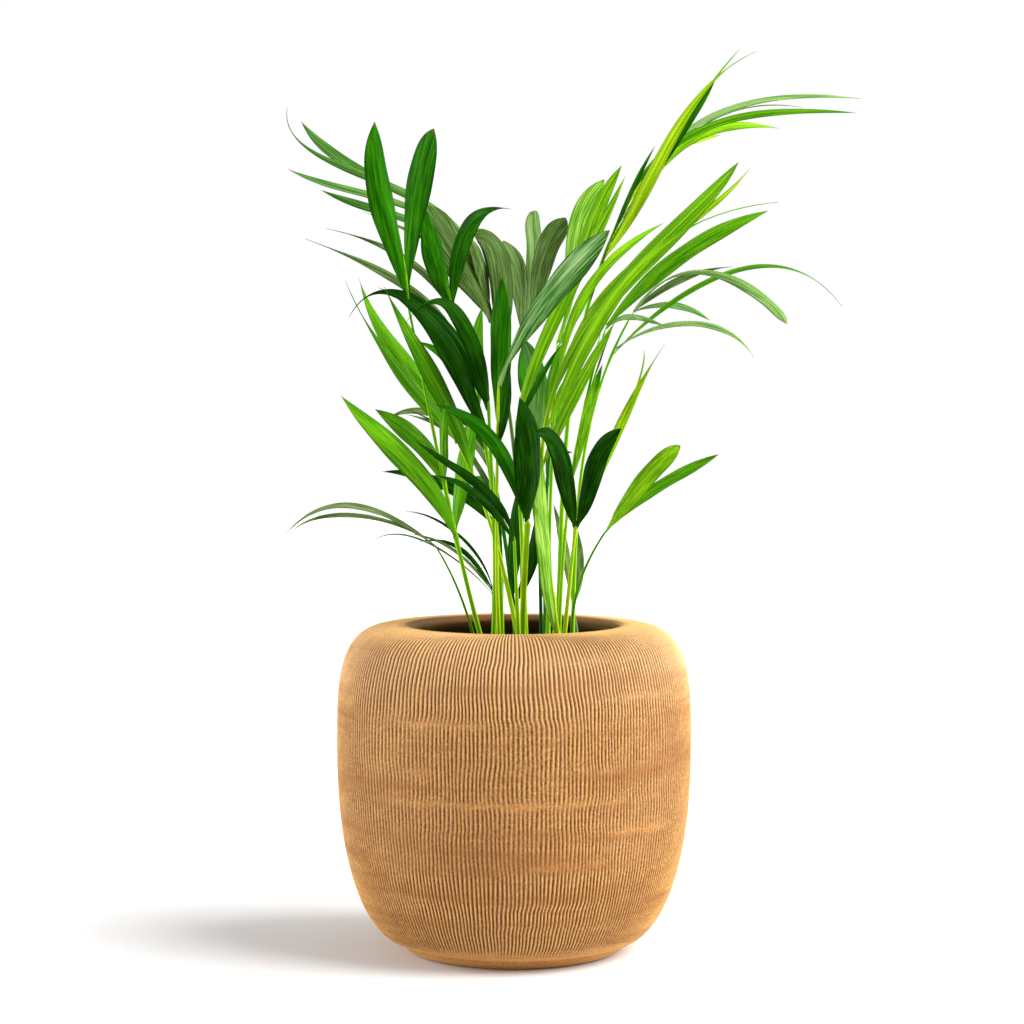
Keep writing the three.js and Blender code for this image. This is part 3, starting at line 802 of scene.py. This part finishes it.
def pot_profile():
    """The whole wall in one line, from the middle of the underside round the lip to the inner floor."""
    lower = quarter(FOOT_RADIUS, BELLY_RADIUS, FOOT_HEIGHT, BELLY_HEIGHT, LOWER_FULLNESS)
    upper = quarter(CREST_RADIUS + 1, BELLY_RADIUS, POT_HEIGHT, BELLY_HEIGHT, UPPER_FULLNESS)
    outside = evenly(lower + upper[::-1][1:], OUTER_ROW)
    foot = [(0, 0)] + [(FOOT_RADIUS + out, up) for out, up in FOOT_EDGE]
    middle = (MOUTH_RADIUS + LIP_ROUND, POT_HEIGHT - LIP_ROUND)
    turn = np.linspace(math.pi / 2, math.pi, 5)[1:]
    lip = [(middle[0] + LIP_ROUND * math.cos(a), middle[1] + LIP_ROUND * math.sin(a)) for a in turn]
    inside = evenly(inner_wall()[::-1], INNER_ROW)
    return foot + outside + lip + inside[1:] + [(0, FLOOR)]


def waves(angle, height, rng, turns, rise):
    """A smooth uneven value round and up the pot, between -1 and 1.

    turns is the most waves that fit round it, and rise how fast they can slope with height.
    """
    total = np.zeros_like(angle)
    for share in (0.5, 0.3, 0.2):
        around = rng.randint(1, turns)
        slope = rng.uniform(-1, 1) * rise
        total += share * np.sin(around * angle + slope * height + rng.uniform(0, math.tau))
    return total


def comb_relief(piece, settings):
    """Presses the comb's grooves into the clay and keeps on its corners the values for its finish."""
    rng = random.Random(COMB_SEED)
    corners = corners_of(piece)
    normals = corner_vectors(piece, "normal")
    radius = np.hypot(corners[:, 0], corners[:, 1])
    height = corners[:, 2]
    angle = np.arctan2(corners[:, 1], corners[:, 0])
    lean = (corners[:, :2] * normals[:, :2]).sum(axis=1) / np.maximum(radius, 1)
    outside = lean > OUTSIDE_LEAN
    column = np.rint(angle * settings.grooves * GROOVE_COLUMNS / math.tau)
    ridge = np.abs((column % GROOVE_COLUMNS) / 2 - 1)

    # The comb starts and ends along uneven lines above the foot and below the crest.
    uneven = waves(angle, height, rng, 9, 0.05)
    strength = smooth(10, 16, height + 2 * uneven)
    below_crest = smooth(CREST_RADIUS, CREST_RADIUS + 4, radius + uneven)
    strength *= np.where(height < BELLY_HEIGHT, 1, below_crest)

    # At each seam the grooves shift sideways, by shares of their pitch, and are worn away in places.
    shift = np.zeros_like(angle)
    level = height + 1.6 * waves(angle, height, rng, 5, 0.02)
    for seam in COMB_SEAMS:
        offset = waves(angle, height, rng, 7, 0)
        shift += offset * smooth(seam - 2.5, seam + 2.5, level)
        worn = 0.1 + 0.6 * smooth(-0.2, 0.8, waves(angle, height, rng, 7, 0))
        strength *= 1 - worn * np.exp(-(((level - seam) / 2) ** 2))
    shift += 0.3 * waves(angle, height, rng, 40, 0.16)

    # The comb was pressed less firmly round the belly, and unevenly everywhere.
    firm = 0.98 - 0.34 * smooth(46, 64, height) * (1 - smooth(138, 156, height))
    strength *= firm + 0.22 * waves(angle, height, rng, 24, 0.3)
    combed = outside & (radius > CREST_RADIUS + 0.5)
    strength = np.clip(strength, 0, 1) * combed

    pitch = math.tau / settings.grooves
    moved = angle + np.where(combed, shift * 0.7 * pitch, 0)
    corners[:, 0] = radius * np.cos(moved)
    corners[:, 1] = radius * np.sin(moved)
    depth = smooth(0, 40, radius - 20) * settings.comb_depth / MM
    corners += normals * ((ridge - 1.0) * strength * depth)[:, None]
    move_corners(piece, corners)
    point_values(piece, "ridge", 0.5 + (ridge - 0.5) * strength)
    point_values(piece, "combed", strength)
    # How much pale dust and painted highlight each corner takes, rising up the shoulder.
    point_values(piece, "dust_and_highlight_share", smooth(135, 178, height + 4 * uneven) * outside)
    point_values(piece, "inside", (lean < OUTSIDE_LEAN) & (height > FLOOR - 1))


def clay_finish(settings):
    """Dry combed clay: pale ridges, brown grooves whose darkness is partly painted shade, uneven darker
    bands, a fine grain, pale dust with a painted highlight on the shoulder and darker clay inside the mouth.
    """
    glow = {"Sheen_Weight": 0.36, "Sheen_Roughness": 0.45, "Sheen_Tint": settings.bloom}
    finish = Finish("combed_clay", Specular_IOR_Level=0.3, **glow)
    ridge = finish.kept("ridge")
    combed = finish.kept("combed")
    speckle = finish.grain(750, roughness=0.75)
    bands = finish.grain(1, stretch=(5, 5, 75), detail=4, roughness=0.6)
    lines = finish.grain(1, stretch=(12, 12, 330), detail=2)
    patches = finish.grain(14)
    # Ridges take the ridge colour and grooves the darker groove colour, which partly paints the shade in the
    # grooves.
    ridge_share = (ridge + (speckle - 0.5) * 1.1).eased(0.18, 0.98)
    comb = finish.mixed(ridge_share, settings.groove, settings.ridge)
    plain = finish.mixed(speckle.eased(0.2, 0.65), settings.stain, settings.plain)
    colour = finish.mixed(combed.eased(0.0, 0.45), plain, comb)
    colour = finish.mixed(lines.eased(0.5, 0.7) * 0.3, colour, settings.stain)
    colour = finish.mixed(bands.eased(0.48, 0.66) * 0.55, colour, settings.stain)
    # Pale dust and a painted highlight on the ridges of the shoulder.
    colour = finish.mixed(finish.kept("dust_and_highlight_share") * ridge * 0.4, colour, settings.dust_and_highlight)
    warm = finish.mixed(patches, paint(214, 200, 190), paint(255, 250, 240))
    colour = finish.mixed(1.0, colour, warm, "MULTIPLY")
    mottle = (patches * 0.5 + bands * 0.5).eased(0.42, 0.62) * 0.7
    # Darker clay inside the mouth, mottled with the stain colour.
    inner_clay = finish.mixed(mottle, settings.inside, settings.stain)
    colour = finish.mixed(finish.kept("inside"), colour, inner_clay)
    roughness = 0.82 - ridge * 0.3 + speckle * 0.1
    return finish.surface(colour, roughness, speckle + ridge * 0.5, 0.0004)


def soil_profile():
    """The soil from under its edge up the pot's wall and over its top to the middle."""
    clearance = 0.4
    top = SOIL_TOP - 2
    wall = [point for point in evenly(inner_wall(), 10) if point[1] < top - 2]
    side = [(radius - clearance, height + clearance) for radius, height in wall]
    rim = side[-1][0] - 3.5
    crown = [(rim * share, top) for share in np.linspace(1, 0.04, 26).tolist()]
    return [(0, FLOOR + clearance)] + side + crown + [(0, top)]


def soil_relief(piece):
    """Breaks the level top of the soil into lumps."""
    corners = corners_of(piece)
    top = corners[:, 2] > SOIL_TOP - 3
    for index in np.flatnonzero(top).tolist():
        spot = Vector(corners[index]) * 0.16
        corners[index, 2] += 2.2 * noise.noise(spot) + 1.0 * noise.noise(spot * 3.1)
    move_corners(piece, corners)


def soil_finish(settings):
    """Damp crumbly soil with paler clods."""
    finish = Finish("potting_soil", Specular_IOR_Level=0.3)
    crumbs = finish.grain(420, detail=6, roughness=0.75)
    clods = finish.grain(90)
    colour = finish.mixed((crumbs * 0.7 + clods * 0.5).eased(0.45, 0.8), settings.soil, settings.bark)
    return finish.surface(colour, 0.95 - crumbs * 0.2, crumbs + clods, 0.0015)


def bark_finish(settings):
    """Fibrous bark, each bit in its own tone."""
    finish = Finish("bark_bits", Specular_IOR_Level=0.3)
    fibre = finish.grain(300, stretch=(1, 1, 4), detail=5, roughness=0.7)
    light = finish.mixed(finish.kept("tone"), settings.bark, paint(124, 88, 58))
    colour = finish.mixed(fibre.eased(0.35, 0.7), settings.soil, light)
    return finish.surface(colour, 0.85 + fibre * 0.1, fibre, 0.0006)


def bark_bits(rng):
    """Small bent flakes of bark and fibre scattered over the soil between the stems."""
    up = np.array((0, 0, 1.0))
    bundle = Bundle()
    for _ in range(BARK_COUNT):
        reach = BARK_REACH * math.sqrt(rng.random())
        angle = rng.uniform(0, math.tau)
        level = SOIL_TOP - 1.2 + rng.uniform(0, 1.5)
        middle = np.array((reach * math.cos(angle), reach * math.sin(angle), level))
        length = rng.uniform(2, 8)
        breadth = rng.uniform(1.2, 3.6)
        thickness = rng.uniform(0.5, 1.4)
        heading = rng.uniform(0, math.tau)
        pitch = rng.gauss(0, 0.3)
        along = np.array((math.cos(heading), math.sin(heading), math.sin(pitch)))
        side = np.array((-math.sin(heading), math.cos(heading), rng.gauss(0, 0.25)))
        lift = up * thickness * 0.5
        rings = []
        for share, wide in BARK_OUTLINE:
            spine = middle + along * length * share + up * (1 - 4 * share**2) * rng.uniform(0, 0.8)
            edge = side * breadth * wide * rng.uniform(0.35, 0.6)
            rings.append((spine - edge + lift, spine + edge + lift, spine + edge - lift, spine - edge - lift))
        bundle.add(np.array(rings), np.zeros((4, 4, 2)), rng.random())
    return bundle.piece("bark_bits")


def stem_profile():
    """A short stem with the overlapping edges of its sheaths, flaring where it meets the soil."""
    foot = SOIL_TOP - 3
    shoulder = STEM_TOP - 0.3
    sheath = 0.35
    heights = np.linspace(foot, shoulder, 14)
    share = (heights - foot) / (shoulder - foot)
    edges = sheath * (1 - (share * 3) % 1)
    radius = STEM_RADIUS * (1 + 0.5 * (1 - share) ** 2) + edges - sheath
    side = list(zip(radius.tolist(), heights.tolist()))
    dome = ((0.95, 0.3), (0.75, 1.2), (0.4, 2.0), (0, 2.3))
    return [(0, foot)] + side + [(radius[-1] * wide, STEM_TOP + rise) for wide, rise in dome]


def stem_finish(settings):
    """A papery sheath with fine fibres, brown rings and a brown foot."""
    finish = Finish("stem_sheath", Specular_IOR_Level=0.35)
    fibre = finish.grain(260, stretch=(1, 1, 0.12), detail=4, roughness=0.6)
    rings = finish.grain(1, stretch=(20, 20, 260), detail=2)
    up = finish.kept("rise")
    colour = finish.mixed((up + fibre * 0.5).eased(0.3, 0.9), settings.scar, settings.sheath)
    colour = finish.mixed(rings.eased(0.55, 0.7) * 0.6, colour, settings.scar)
    return finish.surface(colour, 0.55 + fibre * 0.3, fibre + rings, 0.0004)


def stalk_rings(stalk, leaves):
    """A tapering stalk with a furrow down its front and a swelling where each leaflet leaves it."""
    handles = stalk_handles(stalk)
    share = np.linspace(0, 1, STALK_ROWS + 1) ** 1.4
    points, across, through = frames(handles, share, 0.0)
    foot_radius, head_radius = stalk.girth
    radius = foot_radius + (head_radius - foot_radius) * share
    swelling = np.max([np.exp(-(((share - leaf.at) / 0.018) ** 2)) for leaf in leaves], axis=0)
    radius = radius * (1 + 0.3 * swelling) * (1 - 0.8 * smooth(0.94, 1, share))
    flare = np.clip(1 - (points[:, 2] - STEM_TOP) / 8, 0, 1)
    radius = radius + 1.8 * flare**2
    angle = np.arange(STALK_SIDES) / STALK_SIDES * math.tau
    furrow = 1 - 0.22 * np.exp(-(((angle - 1.5 * math.pi) / 0.6) ** 2))
    sideways = (np.cos(angle) * furrow)[:, None]
    inwards = (np.sin(angle) * furrow)[:, None]
    around = across[:, None] * sideways - through[:, None] * inwards
    rings = points[:, None] + around * radius[:, None, None]
    rings[..., 2] = np.maximum(rings[..., 2], STEM_TOP)
    places = np.stack(np.broadcast_arrays(np.abs(1 - angle / math.pi)[None], share[:, None]), axis=-1)
    return rings, places


def blade_outline(leaf, share):
    """How wide a leaflet is along its run, beside its widest place."""
    slender = 0.75 + 4.5 * max(0, leaf.crest - 0.55)
    opening = np.sin(np.minimum(share / leaf.crest, 1) * math.pi / 2) ** slender
    beyond = np.maximum(share - leaf.crest, 0) / (1 - leaf.crest)
    power = 2 / leaf.blunt if leaf.blunt < 2 else 1 - (leaf.blunt - 2) / 16
    closing = (1 - beyond ** max(leaf.blunt, 2)) ** power
    return np.maximum(opening * closing, ROOT_SHARE * (1 - smooth(0, 0.3, share)))


def blade_rings(leaf, handles, settings, rng):
    """A thin leaflet folded along its midrib, with faint pleats, a slight twist and uneven edges."""
    length = float(np.linalg.norm(stand(handles[3]) - stand(handles[0])))
    rows = max(LEAST_ROWS, round(length * MM / settings.leaf_row))
    share = 1 - np.linspace(1, 0, rows + 1) ** 1.35
    leans = 1 if handles[3][0] < handles[0][0] else -1
    lean = math.radians(max(leaf.turn, LEAST_LEAN))
    width = leaf.width * math.cos(math.radians(leaf.turn)) / math.cos(lean)
    twist = rng.uniform(-1, 1) * settings.twist
    points, across, through = frames(handles, share, lean * leans + twist * (share - 0.4))

    outline = blade_outline(leaf, share)
    half = np.maximum(width / 2 * outline, THREAD * (1 - 0.6 * smooth(0.9, 1, share)))
    fold = math.tan(settings.fold * rng.uniform(0.5, 1.5)) * (1 - 0.5 * smooth(0.3, 1, share))
    ripple = rng.uniform(0, math.tau)

    # Round each ring: where a corner is from edge to edge, and whether it is on top or underneath.
    upper = np.linspace(-1, 1, 2 * BLADE_COLUMNS + 1)
    lower = upper[-2:0:-1]
    x = np.concatenate((upper, lower))
    top = np.concatenate((np.ones(len(upper)), -np.ones(len(lower))))
    distance = np.abs(x)
    pleat = 0.03 * np.cos(distance * 2.5 * math.tau)
    wave = 0.05 * distance**2 * np.sin(share[:, None] * 17 + ripple + np.sign(x) * 1.3)
    depth = (-fold[:, None] * distance + pleat + wave) * half[:, None]
    thinner = (0.35 + 0.65 * np.minimum(outline, 1))[:, None]
    thickness = settings.leaf_thickness / MM * (1 - 0.75 * distance) * thinner
    depth = depth + top * thickness / 2
    sideways = across[:, None] * (x * half[:, None])[..., None]
    rings = points[:, None] + sideways + through[:, None] * depth[..., None]
    places = np.stack(np.broadcast_arrays((x + 1)[None] / 2, share[:, None]), axis=-1)
    return rings, places, 2 * half


def tinted(colour, share):
    """A colour made darker or lighter by a share."""
    return tuple(min(1.0, channel * share) for channel in colour[:3]) + (1.0,)


def leaf_finish(name, settings):
    """A satin leaflet: dark and pale streaks along it, fine veins, a pale midrib and a dry tip.

    Its pattern is laid out in millimetres from the midrib, and fades where the blade is too narrow.
    """
    look = LOOKS[name]
    finish = Finish(f"leaflet_{name}", Specular_IOR_Level=look.gloss)
    across, along = finish.spread()
    tone = finish.kept("tone")
    breadth = finish.kept("breadth")
    side = (across - 0.5) * breadth
    edge = (across - 0.5).size()
    broad = finish.streaks(side * 0.35, along * 3, tone * 19)
    fine = finish.streaks(side * 0.8, along * 5, tone * 31)
    patch = finish.grain(38, detail=2)
    dark = tinted(look.colour, 0.5)
    shade = (broad - 0.5) * 1.4 + (patch - 0.5) * 1.0 + tone * 0.5 + 0.34
    colour = finish.mixed(shade.eased(0.0, 1.0), dark, look.colour)
    pale = (fine * 0.6 + broad * 0.4 + (tone - 0.5) * 0.12).eased(0.46, 0.66)
    # Pale streaks; on the sheen look they are a painted sheen.
    colour = finish.mixed(pale * 0.75, colour, look.streak)
    vein_pitch = 1.7
    veins = ((side * (math.tau / vein_pitch)).sine() * 0.5 + 0.5) ** 3.0
    wide = breadth.eased(2.5, 6.0)
    colour = finish.mixed(veins * wide * look.veins, colour, look.streak)
    colour = finish.mixed(side.size().eased(0.55, 0.15) * wide * look.midrib, colour, look.streak)
    colour = finish.mixed(edge.eased(0.42, 0.49) * wide * 0.5, colour, dark)
    colour = finish.mixed(along.eased(look.root, 0.0) * 0.65, colour, look.streak)
    dry = (along + (fine - 0.5) * 0.03).eased(0.975, 1.0) * tone.eased(0.2, 0.6)
    colour = finish.mixed(dry, colour, settings.dry)
    roughness = look.roughness + (fine - 0.5) * 0.2
    return finish.surface(colour, roughness, veins * wide + broad, 0.00006)


def stalk_finish(name):
    """A smooth stalk: yellower towards its foot, with fine fibres, and painted shade along its furrow and
    along its back.
    """
    look = LOOKS[name]
    finish = Finish(f"stalk_{name}", Specular_IOR_Level=0.06)
    around, along = finish.spread()
    fibre = finish.grain(500, stretch=(1, 1, 0.08))
    mottle = finish.grain(40, detail=2)
    fresh = tinted(look.colour, 1.25)
    yellow = tinted(look.streak, 1.08)
    colour = finish.mixed((along * -0.6 + mottle * 1.4).eased(-0.1, 0.6), fresh, yellow)
    colour = finish.mixed(fibre.eased(0.5, 0.75) * 0.5, colour, look.colour)
    # Painted shade: darker along the furrow and along the back, with the full colour only at the two sides.
    beside = (around - 0.5).size().eased(0.12, 0.4)
    colour = finish.mixed(beside * 0.7 + 0.3, tinted(look.colour, 0.5), colour)
    return finish.surface(colour, 0.34 + fibre * 0.2, fibre, 0.0001)


class StudioStage(bpy.types.Operator):
    """Makes the pale floor, the bright wall, the sky, the soft lights and the camera"""

    bl_idname = "palm.studio_stage"
    bl_label = "Studio stage"

    def execute(self, context):
        settings = context.scene.palm_studio
        clear_selection()
        bpy.ops.mesh.primitive_plane_add(size=STUDIO_SIDE, location=(0, 0, 0))
        floor = context.object
        floor.name = "studio_floor"
        paper = Finish("studio_paper", Base_Color=settings.floor, Specular_IOR_Level=0.0, Roughness=1.0)
        floor.data.materials.append(paper.material)
        self.wall(context, settings)

        world = bpy.data.worlds.new("studio_sky")
        world.use_nodes = True
        sky = world.node_tree.nodes["Background"]
        sky.inputs["Color"].default_value = WHITE
        sky.inputs["Strength"].default_value = settings.sky
        context.scene.world = world

        self.light(context, "key_light", settings.key, *KEY_LIGHT)
        self.light(context, "side_light", settings.side, *SIDE_LIGHT)
        self.light(context, "edge_light", settings.edge, *EDGE_LIGHT)
        self.camera(context)
        context.scene.view_settings.view_transform = "Standard"
        return {"FINISHED"}

    def wall(self, context, settings):
        """A low bright wall all round that throws no shadow on the floor."""
        clear_selection()
        bpy.ops.mesh.primitive_cylinder_add(
            vertices=96, radius=STUDIO_RADIUS, depth=STUDIO_HEIGHT, end_fill_type="NOTHING",
            location=(0, 0, STUDIO_HEIGHT / 2),
        )
        wall = context.object
        wall.name = "studio_wall"
        wall.visible_shadow = False
        light = {"Emission_Color": WHITE, "Emission_Strength": settings.wall}
        glow = Finish("studio_wall", Base_Color=BLACK, Specular_IOR_Level=0.0, **light)
        wall.data.materials.append(glow.material)

    def light(self, context, name, strength, towards, spread):
        """A soft distant light, with the direction it comes from and the degrees it spreads over."""
        lamp = bpy.data.lights.new(name, "SUN")
        lamp.energy = strength
        lamp.angle = math.radians(spread)
        held = bpy.data.objects.new(name, lamp)
        held.rotation_euler = Vector(towards).to_track_quat("Z", "Y").to_euler()
        context.collection.objects.link(held)

    def camera(self, context):
        """The camera that sees the plant as in the photo."""
        lens = bpy.data.cameras.new("studio_camera")
        lens.sensor_width = CAMERA_FILM
        lens.lens = CAMERA_LENS
        held = bpy.data.objects.new("studio_camera", lens)
        held.location = CAMERA_PLACE
        held.rotation_euler = (math.pi / 2 - CAMERA_TILT, 0, 0)
        context.collection.objects.link(held)
        context.scene.camera = held


class ClayPot(bpy.types.Operator):
    """Turns the pot's wall and combs it"""

    bl_idname = "palm.clay_pot"
    bl_label = "Clay pot"

    def execute(self, context):
        settings = context.scene.palm_pot
        columns = settings.grooves * GROOVE_COLUMNS
        pot = turned_piece("clay_pot", pot_profile(), columns, POT_SECTORS)
        comb_relief(pot, settings)
        dress(pot, "clay", clay_finish(settings), "pot")
        return {"FINISHED"}


class PottingSoil(bpy.types.Operator):
    """Fills the pot with lumpy soil and scatters bark over it"""

    bl_idname = "palm.potting_soil"
    bl_label = "Potting soil"

    def execute(self, context):
        settings = context.scene.palm_plant
        soil = turned_piece("potting_soil", soil_profile(), 96)
        soil_relief(soil)
        dress(soil, "soil", soil_finish(settings), "soil")
        dress(bark_bits(random.Random(BARK_SEED)), "soil", bark_finish(settings), "soil")
        return {"FINISHED"}


class ShortStems(bpy.types.Operator):
    """Models one sheathed stem and sets a copy at each place"""

    bl_idname = "palm.short_stems"
    bl_label = "Short stems"

    def execute(self, context):
        finish = stem_finish(context.scene.palm_plant)
        rng = random.Random(STEM_SEED)
        model = turned_piece("stem_model", stem_profile(), 24)
        corners = corners_of(model)
        point_values(model, "rise", smooth(SOIL_TOP, STEM_TOP, corners[:, 2]))
        for name, (across, depth) in STEMS.items():
            stem = bpy.data.objects.new(f"sheathed_{name}", model.data.copy())
            context.collection.objects.link(stem)
            turn = rng.uniform(0, math.tau)
            placed = corners.copy()
            bent = 0.3 * np.sin(corners[:, 2] * 0.5 + turn)
            placed[:, 0] = corners[:, 0] * math.cos(turn) - corners[:, 1] * math.sin(turn) + across + bent
            placed[:, 1] = corners[:, 0] * math.sin(turn) + corners[:, 1] * math.cos(turn) + depth
            move_corners(stem, placed)
            dress(stem, "stem", finish, f"stem_{name}")
        bpy.data.objects.remove(model)
        return {"FINISHED"}


class FrondStalks(bpy.types.Operator):
    """Grows the stalk of every frond, joined by look"""

    bl_idname = "palm.frond_stalks"
    bl_label = "Frond stalks"

    def execute(self, context):
        for look in dict.fromkeys(stalk.look for stalk, *_ in FRONDS.values()):
            bundle = Bundle()
            nodes = []
            for name, (stalk, *leaves) in FRONDS.items():
                if stalk.look == look:
                    bundle.add(*stalk_rings(stalk, leaves), 0.5)
                    nodes.append(f"frond_{name}")
            stalks = bundle.piece(f"stalks_{look}")
            dress(stalks, LOOKS[look].slot, stalk_finish(look), *nodes)
        return {"FINISHED"}


class Leaflets(bpy.types.Operator):
    """Grows every leaflet, joined by look"""

    bl_idname = "palm.leaflets"
    bl_label = "Leaflets"

    def execute(self, context):
        settings = context.scene.palm_plant
        rng = random.Random(LEAF_SEED)
        bundles = {name: Bundle() for name in LOOKS}
        nodes = {name: set() for name in LOOKS}
        for name, (stalk, *leaves) in FRONDS.items():
            line = stalk_handles(stalk)
            for leaf in leaves:
                handles = arch(along_arch(line, leaf.at), place(leaf.tip), leaf.bow, leaf.reach)
                rings, places, breadth = blade_rings(leaf, handles, settings, rng)
                bundles[leaf.look].add(rings, places, rng.random(), breadth)
                nodes[leaf.look].add(f"frond_{name}")
        for look, bundle in bundles.items():
            blades = bundle.piece(f"leaflets_{look}")
            dress(blades, LOOKS[look].slot, leaf_finish(look, settings), *sorted(nodes[look]))
        return {"FINISHED"}


class PalmPanel(bpy.types.Panel):
    """Lists the sizes and colours of the palm, and the buttons that make it"""

    bl_idname = "VIEW3D_PT_palm"
    bl_label = "Potted palm"
    bl_space_type = "VIEW_3D"
    bl_region_type = "UI"
    bl_category = "Palm"

    def draw(self, context):
        for name in GROUPS:
            settings = getattr(context.scene, name)
            box = self.layout.box()
            for shown_name in settings.bl_rna.properties.keys():
                if shown_name not in ("name", "rna_type"):
                    box.prop(settings, shown_name)
        for operator in OPERATORS:
            self.layout.operator(operator.bl_idname)


GROUPS = {"palm_pot": PotSettings, "palm_plant": PlantSettings, "palm_studio": StudioSettings}
OPERATORS = (StudioStage, ClayPot, PottingSoil, ShortStems, FrondStalks, Leaflets)


def register():
    for name, group in GROUPS.items():
        bpy.utils.register_class(group)
        setattr(bpy.types.Scene, name, bpy.props.PointerProperty(type=group))
    for operator in (*OPERATORS, PalmPanel):
        bpy.utils.register_class(operator)


def unregister():
    for operator in (*OPERATORS, PalmPanel):
        bpy.utils.unregister_class(operator)
    for name, group in GROUPS.items():
        delattr(bpy.types.Scene, name)
        bpy.utils.unregister_class(group)


def plain(box):
    """A box as plain lists of numbers."""
    return [[float(value) for value in corner] for corner in box]


def main():
    register()
    bpy.ops.palm.studio_stage()
    bpy.ops.palm.clay_pot()
    bpy.ops.palm.potting_soil()
    bpy.ops.palm.short_stems()
    bpy.ops.palm.frond_stalks()
    bpy.ops.palm.leaflets()


if __name__ == "__main__":
    main()
